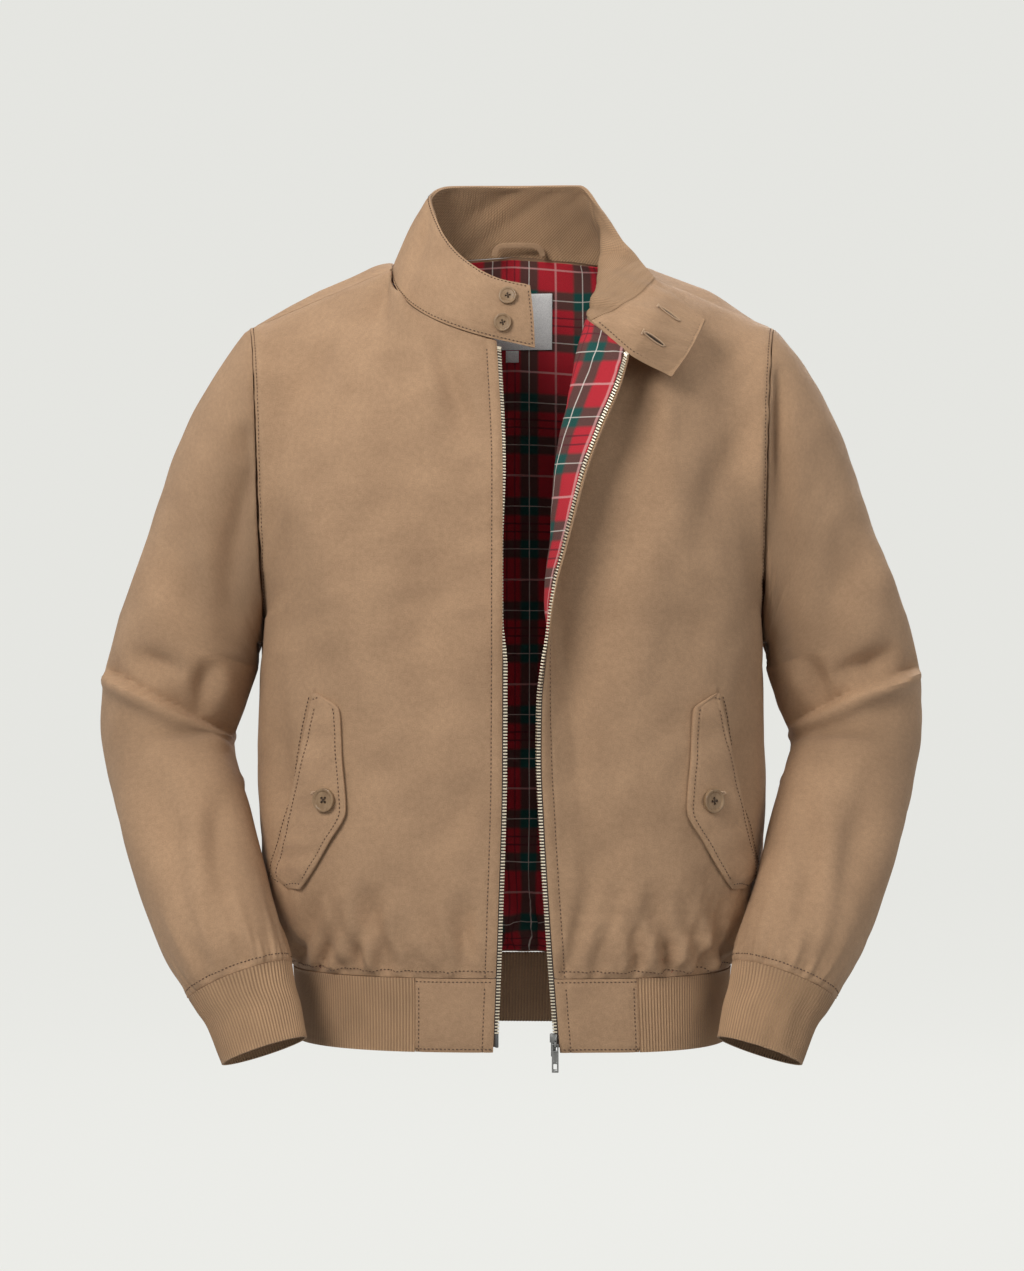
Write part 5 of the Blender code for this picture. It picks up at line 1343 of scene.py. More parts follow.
def make_sleeves():
    """Sleeves with their elbow folds and the gathers above the cuffs."""
    cloths = {}
    for side, word in SIDES:
        cloth = Cloth("sleeve_" + word, sleeve_grid(side), -side, closed=True)
        low, high, _, _ = cloth.borders()
        inside = inside_borders(cloth, 0.014)
        behind = [[(x * side, z, w, h) for x, z, w, h in fold] for fold in SLEEVE_BACK_FOLDS]
        push = folded(cloth, SLEEVE_FOLDS[side], -1) + folded(cloth, behind, 1)
        push = (push + folded(cloth, ELBOW_FOLDS[side], -1, crisp=True)) * inside
        turn = np.linspace(0, math.tau, cloth.grid.shape[1])[None, :] + 0 * cloth.u
        swell = waves(np.cos(turn) * 0.06, cloth.v * 0.6 + np.sin(turn) * 0.06, 0.11, 70 + side)
        small = waves(np.cos(turn) * 0.06, cloth.v + np.sin(turn) * 0.06, 0.035, 75 + side)
        push = push + (0.0014 * swell + 0.0004 * small) * inside
        pucker = waves(np.cos(turn) * 0.05, np.sin(turn) * 0.05 + high * 0.2, 0.019, 80 + side)
        push = push + 0.0024 * (high / 0.016) * np.exp(1 - high / 0.016) * pucker
        pinch = waves(np.cos(turn) * 0.05, np.sin(turn) * 0.05 + high * 0.2, 0.009, 85 + side)
        push = push + 0.0014 * (high / 0.006) * np.exp(1 - high / 0.006) * pinch
        ease = waves(np.cos(turn) * 0.06, np.sin(turn) * 0.06 + low * 0.3, 0.022, 90 + side)
        push = push + 0.0007 * (low / 0.006) * np.exp(1 - low / 0.006) * ease
        push = push + groove(high, HEM_STITCH) + seam_dip(cloth)
        cloth.lift(push)
        sheet_piece(cloth, 0, -SHELL, WOVEN,
                    trims=(2 * SEAM_TRIM, SEAM_TRIM, 0, 0))
        cloths[word] = cloth
    return cloths


def ribbed(rows, pitch, points_per_rib=6):
    """Rows respaced so that a whole number of ribs fits, each with the same points."""
    mean = np.mean([lengths(row)[-1] for row in rows])
    count = int(round(mean / pitch))
    shares = np.linspace(0, 1, count * points_per_rib + 1)
    grid = np.array([along_path(row, shares * lengths(row)[-1]) for row in rows])
    return grid, shares * count


def make_knit(name, rows, sign, closed, seed, slack=0.0006):
    """A piece of rib knit: ribs, a rounded turned edge and a few loose waves."""
    grid, phase = ribbed(rows, RIB_PITCH)
    cloth = Cloth(name, grid, sign, closed)
    low, high, _, _ = cloth.borders()
    rib = RIB_DEPTH * (np.cos(phase * math.tau)[None, :] - 1) * 0.5
    fade = smooth(0, 0.004, low) * smooth(0, 0.0025, high)
    turn = phase * math.tau / max(1, phase[-1])
    loose = waves(np.cos(turn)[None, :] * 0.05, np.sin(turn)[None, :] * 0.05 + cloth.v * 0.4, 0.03, seed)
    cloth.lift(rib * fade + slack * loose * smooth(0, 0.006, low) * smooth(0, 0.006, high))
    along = phase[None, :] * RIB_PITCH + 0 * cloth.u
    return cloth, np.stack([along, cloth.v], axis=-1)


def make_cuffs():
    for side, word in SIDES:
        cloth, uv = make_knit("cuff_" + word, cuff_grid(side), -side, True, 100 + side)
        sheet_piece(cloth, 0, -RIB, KNIT, uv=uv, held="gathered")


def make_hem():
    heights = np.linspace(HEM_BOTTOM, HEM_SEAM, 14)
    cloth, uv = make_knit("hem_rib", hem_rib_rows(heights), -1, False, 110, 0.0008)
    sheet_piece(cloth, 0, -RIB, KNIT, uv=uv, held="gathered")
    ends = {}
    for side, word in SIDES:
        grid = respaced(hem_end_rows(side, heights), EDGE_MARKS, SIDE_MARKS[:4])
        end = Cloth("hem_end_" + word, grid, -side)
        _, _, first, last = end.borders()
        push = 0.0005 * waves(end.u, end.v, 0.03, 120 + side) * inside_borders(end, 0.004)
        push = push + groove(last, PLACKET) + groove(first, HEM_END_STITCH) + seam_dip(end, 0.0009)
        end.lift(push)
        sheet_piece(end, 0, -SHELL, WOVEN, uv=np.stack([end.width - end.u, end.v], axis=-1))
        ends[word] = end
    return ends


def make_collar(rows, halves):
    """The woven collar, the rib knit inside it, and the woven facings of its ends."""
    grid, places = collar_grid(rows["front_right"], halves[0], halves[1], rows["front_left"])
    cloth = Cloth("collar", grid, -1)
    low, high, first, last = cloth.borders()
    push = 0.0012 * waves(cloth.u, cloth.v, 0.045, 130) * inside_borders(cloth, 0.006)
    for distance in (high, first, last, low):
        push = push + groove(distance, *COLLAR_GROOVE)
    rim = 0.0
    for distance in (high, first, last):
        rim = rim - 0.0007 * np.exp(-(distance / 0.0011) ** 2)
    cloth.lift(push + rim + seam_dip(cloth, 0.0003))
    sheet_piece(cloth, 0, -SHELL, WOVEN)
    cut_first = int(np.argmin(abs(places - RIB_ENDS[0])))
    cut_last = int(np.argmin(abs(places - RIB_ENDS[1])))
    for name, start, end, knit in (("collar_end_facing", 0, cut_first, False),
                                   ("collar_rib", cut_first, cut_last, True),
                                   ("collar_tab_facing", cut_last, len(places) - 1, False)):
        part = Cloth(name, cloth.grid[:, start:end + 1], -1)
        part.normals = cloth.normals[:, start:end + 1]
        along = cloth.u[:, start:end + 1]
        low, high, first, last = part.borders()
        over = -SHELL - GAP
        depth = RIB if knit else SHELL
        inner = over - depth + np.zeros_like(low)
        if knit:
            rib = RIB_DEPTH * (np.cos(along.mean(axis=0) * math.tau / RIB_PITCH)[None, :] - 1) * 0.5
            inner = inner - rib * smooth(0, 0.002, high)
        else:
            for distance in (high, first, last, low):
                inner = inner - groove(distance, *COLLAR_GROOVE)
        inner = inner + 0.0008 * np.exp(-(high / 0.0012) ** 2)
        top, bottom = part.layer(over, inner)
        piece = wall(name, top, bottom, np.stack([along, part.v], axis=-1), KNIT if knit else WOVEN)
        width = float(part.width.mean())
        length = float(lengths(part.grid[:, part.grid.shape[1] // 2])[-1])
        declare(piece, name, "folded" if not knit else "hung",
                (width, length))
    return cloth, places


def make_pocket_flaps():
    """A stitched flap on each front, on the even cloth below it."""
    flaps = {}
    for side, word in SIDES:
        low, high = POCKET_FLAP[-1][0], POCKET_FLAP[0][0]
        flipped = [(height, *rest) for height, *rest in POCKET_FLAP[::-1]]
        rows = []
        for height in np.linspace(low, high, 76):
            sewn, free = table_at(flipped, height)
            shares = np.linspace(0, 1, 26)
            rows.append(on_trunk(side, mix(sewn, free, shares) + POCKET_SHIFT[side], np.full(26, height)))
        flap = Cloth("pocket_flap_" + word, rows, -side)
        low_gap, high_gap, first, last = flap.borders()
        rim = 0.0
        for distance in (low_gap, high_gap, first, last):
            rim = rim + np.exp(-(distance / 0.0012) ** 2)
            rim = rim + 0.7 * np.exp(-((distance - 0.0050) / 0.0013) ** 2)
        puff = 0.0008 * waves(flap.u, flap.v, 0.028, 140 + side) * inside_borders(flap, 0.006)
        outer = FLAP_LIFT + FLAP + puff - 0.0008 * np.minimum(rim, 1.0)
        flap_over, flap_under = flap.layer(outer, FLAP_LIFT - 0.0006, (0,) * 4)
        piece = wall(flap.name, flap_over, flap_under, flap.uv, WOVEN)
        declare(piece, flap.name, "stretched",
                (float(flap.width.mean()), float(lengths(flap.grid[:, 13])[-1])))
        flap.grid = flap_over
        flap.find_normals()
        flaps[side] = flap
    return flaps


# ---------------------------------------------------------------- zip

def zip_path(front, end, side):
    """The front edge with the way into the cloth and outwards, hem to neck."""
    grid = np.concatenate([end.base[:-1, -4:], front.base[:, -4:]])
    edge = grid[:, -1]
    inwards = unit(grid[:, 0] - edge)
    out = unit(np.cross(inwards, np.gradient(edge, axis=0))) * side
    return edge, inwards, out


def strip(points, sideways, outwards, low, high, depth):
    """A thin flat strip's outer and inner points, between two distances sideways."""
    shares = np.linspace(0, 1, 5)[None, :, None]
    across = mix(np.asarray(low)[:, None, None], np.asarray(high)[:, None, None], shares)
    over = points[:, None] + sideways[:, None] * across + outwards[:, None] * depth / 2
    return over, over - outwards[:, None] * depth


def smooth_path(values, passes=6):
    """A path with its small kinks worn away."""
    values = values.copy()
    for _ in range(passes):
        values[1:-1] = (values[:-2] + 2 * values[1:-1] + values[2:]) / 4
    return values


def make_zip(cloths, ends):
    """Tapes and teeth of the zip on both front edges."""
    tooth = model_tooth()
    for side, word in SIDES:
        edge, inwards, out = zip_path(cloths["front_" + word], ends[word], side)
        inwards, out = unit(smooth_path(inwards)), unit(smooth_path(out))
        reach = table_at(CHAIN_REACH, edge[:, 2])[:, 0 if side == RIGHT else 1]
        middle = edge - out * (SHELL + GAP + TAPE / 2)
        keep = slice(1, len(edge) - 4)
        low, high = -reach - 0.0006, np.full(len(edge), TAPE_EDGE)
        over, under = strip(middle[keep], inwards[keep], out[keep], low[keep], high[keep], TAPE)
        along = lengths(edge[keep])[:, None] + np.zeros((1, 5))
        across = np.linspace(0, 0.009, 5)[None, :] + 0 * along
        piece = wall("zip_tape_" + word, over, under, np.stack([across, along], axis=-1), TAPE_CLOTH)
        width = float(np.mean(high - low))
        declare(piece, "zip_tape_" + word, "hung", (width, float(along[-1, 0])))
        chain = edge - inwards * reach[:, None] - out * (SHELL + GAP + CHAIN_DEPTH / 2)
        distance = lengths(chain)
        start = float(np.interp(CHAIN_BOTTOM, chain[:, 2], distance))
        marks = np.arange(start, distance[-1] - 0.004, TOOTH_PITCH)
        if side == LEFT:
            marks = marks + TOOTH_PITCH / 2
        make_teeth("zip_teeth_" + word, tooth, chain, inwards, out, distance, marks)


def model_tooth():
    """One metal tooth: a small block with a waist and a rounded head."""
    bpy.ops.object.select_all(action="DESELECT")
    bpy.ops.mesh.primitive_cube_add(size=1, location=(0, 0, 0))
    tooth = bpy.context.object
    bpy.ops.object.mode_set(mode="EDIT")
    bpy.ops.transform.resize(value=(CHAIN_WIDTH * 0.92, 0.00130, CHAIN_DEPTH * 1.1))
    bpy.ops.mesh.bevel(offset=0.00022, segments=1, affect="EDGES")
    bpy.ops.object.mode_set(mode="OBJECT")
    points = np.array([vertex.co for vertex in tooth.data.vertices])
    faces = [tuple(face.vertices) for face in tooth.data.polygons]
    bpy.data.objects.remove(tooth)
    return points, faces


def make_teeth(name, tooth, chain, inwards, out, distance, marks):
    """A chain of teeth: copies of one tooth along a path."""
    points, faces = tooth
    everything, polygons = [], []
    for mark in marks:
        centre = np.array([np.interp(mark, distance, chain[:, k]) for k in range(3)])
        sideways = unit(np.array([np.interp(mark, distance, inwards[:, k]) for k in range(3)]))
        outwards = unit(np.array([np.interp(mark, distance, out[:, k]) for k in range(3)]))
        ahead = np.cross(outwards, sideways)
        base = len(everything) * len(points)
        size = TOP_STOP if mark == marks[-1] else (1.0, 1.0, 1.0)
        everything.append(centre + points * size @ np.stack([sideways, ahead, outwards]))
        polygons += [tuple(base + k for k in face) for face in faces]
    piece = from_points(name + "_metal", np.concatenate(everything), polygons, TEETH_METAL)
    piece.data.set_sharp_from_angle(angle=math.radians(25))
    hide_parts(name)
    return piece


# ---------------------------------------------------------------- buttons, slider and labels

def finish_round(piece, name, material, body, slot, *nodes):
    piece.name = name
    piece.data.name = name
    piece.data.materials.clear()
    piece.data.materials.append(material)
    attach(piece, body)
    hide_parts(*nodes)


def add(operator, **where):
    """Add a primitive with nothing else selected, and give its object."""
    bpy.ops.object.select_all(action="DESELECT")
    operator(**where)
    return bpy.context.object


def apply_modifier(piece, kind, **settings):
    modifier = piece.modifiers.new(kind.lower(), kind)
    for key, value in settings.items():
        setattr(modifier, key, value)
    bpy.context.view_layer.objects.active = piece
    bpy.ops.object.modifier_apply(modifier=modifier.name)


def settle(piece, matrix=None):
    """Put an object's place into its mesh, so that the object sits at the origin."""
    if matrix is not None:
        piece.matrix_world = matrix
    piece.data.transform(piece.matrix_world)
    piece.matrix_world.identity()


def make_button(node, centre, normal, radius, turn=0.4):
    """A turned button with a raised rim, a dished face, four holes and crossed thread."""
    height = radius * 0.34
    button = add(bpy.ops.mesh.primitive_cylinder_add, vertices=48, radius=radius, depth=height)
    bpy.ops.object.mode_set(mode="EDIT")
    bpy.ops.mesh.select_all(action="DESELECT")
    bpy.ops.object.mode_set(mode="OBJECT")
    top = [face for face in button.data.polygons if face.normal.z > 0.9]
    for face in top:
        face.select = True
    bpy.ops.object.mode_set(mode="EDIT")
    bpy.ops.mesh.select_mode(type="FACE")
    bpy.ops.mesh.inset(thickness=radius * 0.20)
    bpy.ops.mesh.inset(thickness=radius * 0.10)
    bpy.ops.transform.translate(value=(0, 0, -height * 0.28))
    bpy.ops.mesh.inset(thickness=radius * 0.28)
    bpy.ops.transform.translate(value=(0, 0, -height * 0.06))
    bpy.ops.object.mode_set(mode="OBJECT")
    apply_modifier(button, "BEVEL", width=radius * 0.055, segments=3, angle_limit=math.radians(40))
    cutters = []
    for k in range(4):
        angle = math.tau * (k + 0.5) / 4
        spot = (math.cos(angle) * radius * 0.23, math.sin(angle) * radius * 0.23, 0)
        cutters.append(add(bpy.ops.mesh.primitive_cylinder_add, vertices=12, radius=radius * 0.12,
                           depth=height * 3, location=spot))
    for cutter in cutters:
        apply_modifier(button, "BOOLEAN", operation="DIFFERENCE", object=cutter, solver="EXACT")
        bpy.data.objects.remove(cutter)
    button.data.shade_smooth()
    button.data.set_sharp_from_angle(angle=math.radians(32))
    place = place_matrix(centre, normal, turn)
    settle(button, place)
    finish_round(button, node + "_horn", HORN, BODY, "horn", node)
    # The crossed thread is real, made very dark to paint the shade in the holes below it.
    rods = []
    for angle in (math.tau / 8, -math.tau / 8):
        rod = add(bpy.ops.mesh.primitive_cylinder_add, vertices=10, radius=radius * 0.045,
                  depth=radius * 0.52, location=(0, 0, height * 0.28),
                  rotation=(0, math.pi / 2, angle))
        bpy.ops.object.transform_apply(location=True, rotation=True, scale=True)
        rods.append(rod)
    bpy.ops.object.select_all(action="DESELECT")
    for rod in rods:
        rod.select_set(True)
    bpy.context.view_layer.objects.active = rods[0]
    bpy.ops.object.join()
    settle(rods[0], place)
    rods[0].name = node + "_thread"
    rods[0].data.shade_smooth()
    rods[0].data.materials.append(HOLE_SHADE_AND_THREAD)
    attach(rods[0], BODY)


def place_matrix(centre, normal, turn=0.0):
    """A matrix that sets a piece's +Z along a normal at a centre."""
    tilt = Vector((0, 0, 1)).rotation_difference(Vector(normal)).to_matrix().to_4x4()
    return Matrix.Translation(Vector(centre)) @ tilt @ Matrix.Rotation(turn, 4, "Z")


def make_buttons(collar, places):
    for side, word in SIDES:
        x, height = POCKET_BUTTON[side]
        here, ahead, above = (on_trunk(side, x + dx, np.array(height + dz))
                              for dx, dz in ((0, 0), (0.002, 0), (0, 0.002)))
        out = unit(np.cross(ahead - here, above - here))
        out = out * -np.sign(out[1])
        make_button("pocket_button_" + word, here + out * (BUTTON_LIFT + POCKET_BUTTON_RADIUS * 0.17),
                    out, POCKET_BUTTON_RADIUS, 0.5 + side)
    for name, (place, share) in COLLAR_BUTTONS.items():
        column = int(np.argmin(abs(places - place)))
        row = int(round(share * (len(collar.grid) - 1)))
        out = collar.normals[row, column]
        centre = collar.grid[row, column] + out * (2 * GAP + COLLAR_BUTTON_RADIUS * 0.17)
        make_button(name, centre, out, COLLAR_BUTTON_RADIUS, 0.9)


def bevelled_box(name, low, high, bevel, material, segments=2):
    """A box with rounded edges from its lowest and highest corners."""
    low, high = np.array(low), np.array(high)
    box = add(bpy.ops.mesh.primitive_cube_add, size=1, location=tuple((low + high) / 2))
    box.scale = tuple(high - low)
    bpy.ops.object.transform_apply(location=False, rotation=False, scale=True)
    apply_modifier(box, "BEVEL", width=bevel, segments=segments)
    box.data.shade_smooth()
    box.data.set_sharp_from_angle(angle=math.radians(40))
    box.name = name
    box.data.materials.append(material)
    return box


def joined(pieces, name):
    """Several objects made one, with its place in its mesh."""
    bpy.ops.object.select_all(action="DESELECT")
    for piece in pieces:
        piece.select_set(True)
    bpy.context.view_layer.objects.active = pieces[0]
    bpy.ops.object.join()
    settle(pieces[0])
    pieces[0].name = name
    return pieces[0]


def make_slider():
    """The slider with its two wings and bail, the pin, the box and the pull tab."""
    low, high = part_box("zip_slider")
    low, high = np.array(low), np.array(high)
    front = low[1] + BAIL_GAP + BAIL_BAR
    middle = (low[0] + high[0]) / 2
    body = bevelled_box("zip_slider_body", (low[0], front, low[2]), high, 0.0009, GUNMETAL)
    waist = [bevelled_box("cut", (x - 0.0012, front - 0.001, low[2] - 0.001),
                          (x + 0.0012, high[1] + 0.001, low[2] + 0.0075), 0.0006, GUNMETAL)
             for x in (low[0] - 0.0002, high[0] + 0.0002)]
    for cutter in waist:
        apply_modifier(body, "BOOLEAN", operation="DIFFERENCE", object=cutter, solver="EXACT")
        bpy.data.objects.remove(cutter)
    mid_depth = (front + high[1]) / 2
    slot = bevelled_box("cut", (low[0] - 0.001, mid_depth - 0.0007, low[2] - 0.001),
                        (high[0] + 0.001, mid_depth + 0.0007, high[2] + 0.001), 0.0002, GUNMETAL)
    apply_modifier(body, "BOOLEAN", operation="DIFFERENCE", object=slot, solver="EXACT")
    bpy.data.objects.remove(slot)
    post = bevelled_box("post", (middle - 0.0012, front + 0.0006, high[2] - 0.0060),
                        (middle + 0.0012, high[1] - 0.0006, high[2] - 0.0010), 0.0004, GUNMETAL)
    pull_low, pull_high = (np.array(corner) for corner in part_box("zip_pull"))
    axis_z = pull_high[2] - 0.0006
    axis_x = (pull_low[0] + pull_high[0]) / 2
    bail_parts = [
        bevelled_box("bail", (axis_x - BAIL_HALF, low[1], axis_z + BAIL_LOW),
                     (axis_x + BAIL_HALF, low[1] + BAIL_BAR, axis_z + BAIL_HIGH), 0.0003, GUNMETAL),
        bevelled_box("bail", (axis_x - BAIL_HALF, low[1], axis_z + BAIL_LOW),
                     (axis_x + BAIL_HALF, front + 0.0004, axis_z + BAIL_LOW + BAIL_BAR), 0.0003, GUNMETAL),
        bevelled_box("bail", (axis_x - BAIL_HALF, low[1], axis_z + BAIL_HIGH - BAIL_BAR),
                     (axis_x + BAIL_HALF, front + 0.0004, axis_z + BAIL_HIGH), 0.0003, GUNMETAL)]
    slider = joined([body, post, *bail_parts], "zip_slider_metal")
    finish_round(slider, "zip_slider_metal", GUNMETAL, BODY, "dark_metal", "zip_slider")
    for node, bevel in (("zip_box", 0.0006), ("zip_pin", 0.0007)):
        block = bevelled_box(node + "_metal", *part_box(node), bevel, DARK_METAL, 3)
        settle(block)
        finish_round(block, node + "_metal", DARK_METAL, BODY, "dark_metal", node)
    pull = bevelled_box("zip_pull_metal", pull_low, pull_high, 0.00045, GUNMETAL, 3)
    holes = []
    for half, top, bottom in ((SLOT_HALF, 0.0006, 0.0050), (HOLE_HALF, 0.0160, 0.0205)):
        holes.append(bevelled_box("cut", (axis_x - half, pull_low[1] - 0.002, axis_z - bottom),
                                  (axis_x + half, pull_high[1] + 0.002, axis_z - top), 0.0005, GUNMETAL))
    holes.append(bevelled_box("cut", (axis_x - 0.0018, pull_low[1] - 0.001, axis_z - 0.0148),
                              (axis_x + 0.0018, pull_low[1] + 0.00022, axis_z - 0.0066), 0.0001, GUNMETAL))
    for hole in holes:
        apply_modifier(pull, "BOOLEAN", operation="DIFFERENCE", object=hole, solver="EXACT")
        bpy.data.objects.remove(hole)
    settle(pull)
    finish_round(pull, "zip_pull_metal", GUNMETAL, TAB, "dark_metal", "zip_pull")


def make_labels(back):
    """The blank label and size tab on the lining, with their sewn edges."""
    middle = back.grid.shape[1] // 2
    inner = back.grid - back.normals * (SHELL + GAP + LINING)
    for name, (low, high, left, right) in LABELS.items():
        heights, spots = np.linspace(low, high, 22), np.linspace(left, right, 34)
        reach = slice(middle - 24, middle + 25)
        rows = []
        for height in heights:
            row = np.array([[np.interp(height, inner[:, column, 2], inner[:, column, axis])
                             for axis in range(3)] for column in range(reach.start, reach.stop)])
            rows.append(np.stack([spots, np.interp(spots, row[:, 0], row[:, 1]),
                                  np.full_like(spots, height)], axis=-1))
        label = Cloth(name, rows, 1)
        label.normals = np.broadcast_to((0.0, -1.0, 0.0), label.grid.shape)
        low_gap, high_gap, first, last = label.borders()
        rim = sum(np.exp(-(distance / 0.0012) ** 2) for distance in (low_gap, high_gap, first, last))
        wave = 0.0004 * waves(label.u, label.v, 0.03, 150) * inside_borders(label, 0.006)
        outer = LABEL_LIFT + LABEL + wave - 0.0005 * np.minimum(rim, 1)
        over, under = label.layer(outer, LABEL_LIFT, (0,) * 4)
        piece = wall(name, over, under, label.uv, LABEL_CLOTH)
        declare(piece, name, "hung", (right - left, high - low))


def make_hanger():
    """The hanger loop: a folded strip of the cloth, sewn along both edges."""
    line = np.array([(x, 0, height) for x, height in HANGER_LINE]) + HANGER_FOOT
    reach = lengths(line)
    points = smooth_path(along_path(line, np.linspace(0, reach[-1], 60)), 8)
    ahead = unit(np.gradient(points, axis=0))
    across = unit(np.cross(ahead, (0.0, 1.0, 0.0)))
    shares = np.linspace(-0.5, 0.5, 11)
    grid = points[None] + across[None] * (shares * HANGER_WIDTH)[:, None, None]
    loop = Cloth("hanger_loop", grid, 1)
    loop.normals = np.broadcast_to((0.0, -1.0, 0.0), loop.grid.shape)
    edge = np.abs(shares)[:, None] * 2
    crown = HANGER_THICK / 2 * (1 - 0.55 * edge ** 4) + 0 * loop.u
    over, under = loop.layer(crown, -crown, (0,) * 4)
    piece = wall("hanger_loop", over, under, loop.uv, WOVEN)
    declare(piece, "hanger_loop", "folded", (float(reach[-1]), HANGER_WIDTH))


def make_stitching(cloths, sleeves, ends, collar, flaps):
    """The rows of stitches that show, one piece for each part of the jacket."""
    arm = (SIDE_STEPS + 2) / (SIDE_STEPS + ARM_FINE - 1)
    body = []
    for word in ("right", "left"):
        front = cloths["front_" + word]
        body.append(border_run(front, "last", PLACKET, 0.004, 0.99, 0.0001))
        body.append(border_run(front, "first", ARM_STITCH, arm, 0.985, 0.0001))
    for border in ("first", "last"):
        body.append(border_run(cloths["back"], border, ARM_STITCH, arm, 0.985, 0.0001))
    for cloth in cloths.values():
        body.append(border_run(cloth, "low", HEM_STITCH, 0.004, 0.996, 0.0001))
    for sleeve in sleeves.values():
        body.append(border_run(sleeve, "high", HEM_STITCH, 0, 1, 0.0001))
    made = [stitches("body_stitches", body, THREAD_DARKENED_AS_SHADE)]
    hem = []
    for word in ("right", "left"):
        end = ends[word]
        hem.append(border_run(end, "last", PLACKET, 0.02, 0.99, 0.0001))
        hem.append(border_run(end, "first", HEM_END_STITCH, 0.03, 0.97, 0.0001))
        hem.append(border_run(end, "high", 0.0030, 0.03, 0.97, 0.0001))
        hem.append(border_run(end, "low", 0.0030, 0.03, 0.97, 0.0001))
    made.append(stitches("hem_stitches", hem, THREAD_DARKENED_AS_SHADE))
    made.append(stitches("collar_stitches", [
        border_run(collar, "high", 0.0024, 0.006, 0.994, 0.0001),
        border_run(collar, "low", 0.0024, 0.006, 0.994, 0.0001),
        border_run(collar, "first", 0.0024, 0.06, 0.94, 0.0001),
        border_run(collar, "last", 0.0024, 0.06, 0.94, 0.0001),
        border_run(collar, "high", 0.0034, 0.885, 0.990, -TAB_THICK),
        border_run(collar, "low", 0.0034, 0.885, 0.990, -TAB_THICK),
        border_run(collar, "last", 0.0034, 0.08, 0.92, -TAB_THICK)], THREAD_DARKENED_AS_SHADE))
    runs = []
    for flap in flaps.values():
        for border in ("first", "last", "low", "high"):
            runs.append(border_run(flap, border, 0.0050, 0.06, 0.94, 0.0001))
    flipped = [(height, *rest) for height, *rest in POCKET_FLAP[::-1]]
    for side, word in SIDES:
        spots = []
        for height in np.linspace(POCKET_FLAP[-1][0] + 0.004, POCKET_FLAP[0][0] - 0.001, 60):
            sewn = table_at(flipped, height)[0] + POCKET_SHIFT[side] + SIDE_STITCH
            spots.append(on_trunk(side, sewn, np.array(height)))
        runs.append(on_cloth(cloths["front_" + word], np.array(spots).reshape(-1, 3)))
    made.append(stitches("pocket_stitches", runs, THREAD_DARKENED_AS_SHADE))


def make_buttonhole(name, centre, along, out, length):
    """A keyhole buttonhole: a slit painted dark as shade, with a rim of thread and a bar tack."""
    across = np.cross(out, along)
    turns = np.linspace(0, math.tau, 57)
    oval = np.stack([np.cos(turns) * length / 2, np.sin(turns) * length * 0.085], axis=-1)
    path = centre + oval[:, :1] * along + oval[:, 1:] * across + out * 0.0005
    normals = np.repeat(out[None], len(path), axis=0)
    rim = stitches(name + "_rim", [(path, normals)], PALE_THREAD, 0.00095, 0.0014, 0.00075)
    ring = oval * (0.86, 0.62)
    edge = centre + ring[:-1, :1] * along + ring[:-1, 1:] * across
    points = np.concatenate([edge + out * 0.00035, edge - out * 0.0002])
    count = len(edge)
    faces = [tuple(range(count)), tuple(range(2 * count - 1, count - 1, -1))]
    faces += [(k, (k + 1) % count, count + (k + 1) % count, count + k) for k in range(count)]
    painted_shade_slit = from_points(name + "_slit", points, faces, HOLE_SHADE_AND_THREAD)
    tack = centre + along * -length * 0.56
    bar = np.array([tack + across * length * 0.14 * s + out * 0.0004 for s in (-1, -0.3, 0.3, 1)])
    runs = [(bar + along * shift, np.repeat(out[None], 4, axis=0)) for shift in (-0.0004, 0, 0.0004)]
    bars = stitches(name + "_tack", runs, PALE_THREAD, 0.0009, 0.0014, 0.00050)


def make_buttonholes(collar, places, flaps):
    for number, (place, share) in enumerate(TAB_HOLES):
        column = int(np.argmin(abs(places - place)))
        row = int(round(share * (len(collar.grid) - 1)))
        inner = collar.grid[row, column] - collar.normals[row, column] * (2 * SHELL + GAP)
        along = unit(collar.grid[row, column + 6] - collar.grid[row, column - 6])
        make_buttonhole(f"tab_hole_{number + 1}", inner, along, -collar.normals[row, column], 0.021)
    for side, word in SIDES:
        flap = flaps[side]
        x, height = POCKET_BUTTON[side]
        shift = POCKET_HOLE[side]
        gap = np.hypot(flap.grid[..., 0] - (x + shift) * side, flap.grid[..., 2] - height - 0.006)
        row, column = np.unravel_index(np.argmin(gap), gap.shape)
        along = unit(flap.grid[row, column + 2] - flap.grid[row, column - 2])
        along = along * np.sign(along[0] * side)
        make_buttonhole("pocket_hole_" + word, flap.grid[row, column], along,
                        flap.normals[row, column], 0.013)


# ---------------------------------------------------------------- the room

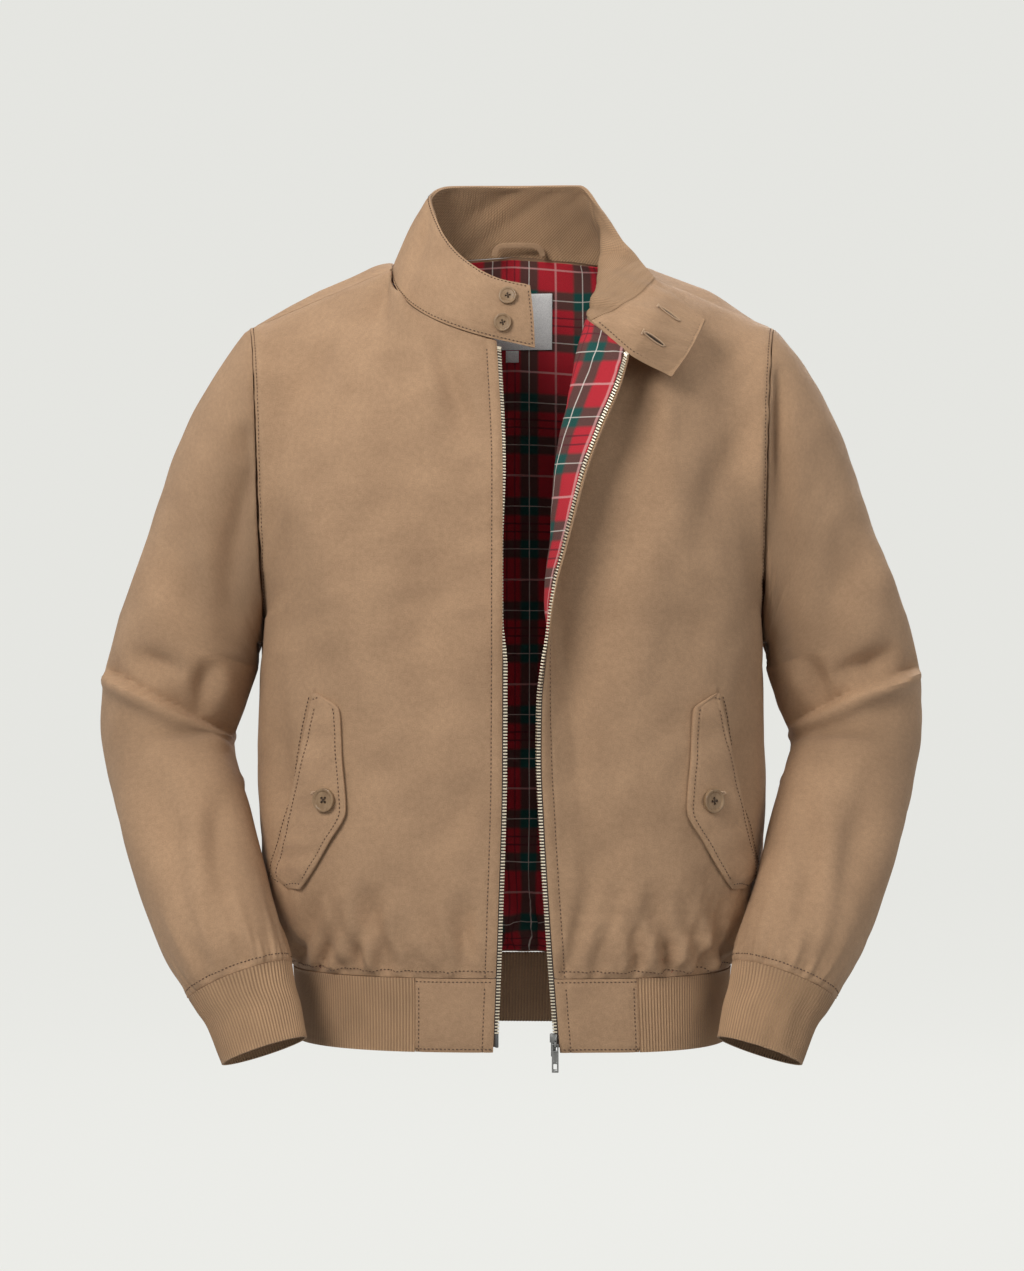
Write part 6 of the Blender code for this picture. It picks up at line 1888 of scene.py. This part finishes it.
def make_room():
    """A pale floor that curves up into its walls, soft lamps and the camera."""
    profile = [(0.02, FLOOR), (1.5, FLOOR)]
    profile += [(ROOM - WALL_BEND + WALL_BEND * math.sin(angle), FLOOR + WALL_BEND * (1 - math.cos(angle)))
                for angle in np.linspace(0, math.pi / 2, 14)]
    profile.append((ROOM, FLOOR + 7.0))
    turns = 72
    points = [(r * math.cos(math.tau * k / turns), r * math.sin(math.tau * k / turns), z)
              for r, z in profile for k in range(turns)]
    faces = [(j * turns + k, j * turns + (k + 1) % turns,
              (j + 1) * turns + (k + 1) % turns, (j + 1) * turns + k)
             for j in range(len(profile) - 1) for k in range(turns)]
    faces.append(tuple(range(turns))[::-1])
    mesh = bpy.data.meshes.new("studio_floor")
    mesh.from_pydata(points, [], faces)
    mesh.shade_smooth()
    floor = bpy.data.objects.new("studio_floor", mesh)
    bpy.context.scene.collection.objects.link(floor)
    paper = Finish("studio paper", (0.02, 0.02, 0.02), 1.0)
    paper.shader.inputs["Emission Color"].default_value = (*PAPER, 1)
    paper.shader.inputs["Emission Strength"].default_value = 1.0
    mesh.materials.append(paper.material)
    floor.visible_diffuse = False
    floor.visible_shadow = False
    for name, place, aim, size, power in LAMPS:
        lamp = bpy.data.lights.new(name, "AREA")
        lamp.shape = "DISK"
        lamp.size, lamp.energy = size, power
        holder = bpy.data.objects.new(name, lamp)
        holder.location = place
        holder.rotation_euler = (Vector(aim) - Vector(place)).to_track_quat("-Z", "Y").to_euler()
        bpy.context.scene.collection.objects.link(holder)
    world = bpy.data.worlds.new("soft light")
    world.use_nodes = True
    world.node_tree.nodes["Background"].inputs["Color"].default_value = (0.97, 0.98, 1.0, 1)
    world.node_tree.nodes["Background"].inputs["Strength"].default_value = WORLD_LIGHT
    bpy.context.scene.world = world
    camera = bpy.data.cameras.new("camera")
    camera.sensor_fit = "HORIZONTAL"
    camera.sensor_width, camera.lens = 36.0, 36.0 * 3.0 / CAMERA_WIDTH
    camera.clip_end = 60
    eye = bpy.data.objects.new("camera", camera)
    eye.location = (0, -3.0, CAMERA_HEIGHT)
    eye.rotation_euler = (math.pi / 2, 0, 0)
    bpy.context.scene.collection.objects.link(eye)
    bpy.context.scene.camera = eye
    bpy.context.scene.view_settings.view_transform = "Standard"


def main():
    make_room()
    cloths, rows, halves = make_body()
    sleeves = make_sleeves()
    make_cuffs()
    ends = make_hem()
    collar, places = make_collar(rows, halves)
    flaps = make_pocket_flaps()
    make_zip(cloths, ends)
    make_buttons(collar, places)
    make_slider()
    make_labels(cloths["back"])
    make_hanger()
    make_stitching(cloths, sleeves, ends, collar, flaps)
    make_buttonholes(collar, places, flaps)
    for piece, held, (width, length) in SHEETS:
        min(width, length) > NARROWEST_SHEET


main()
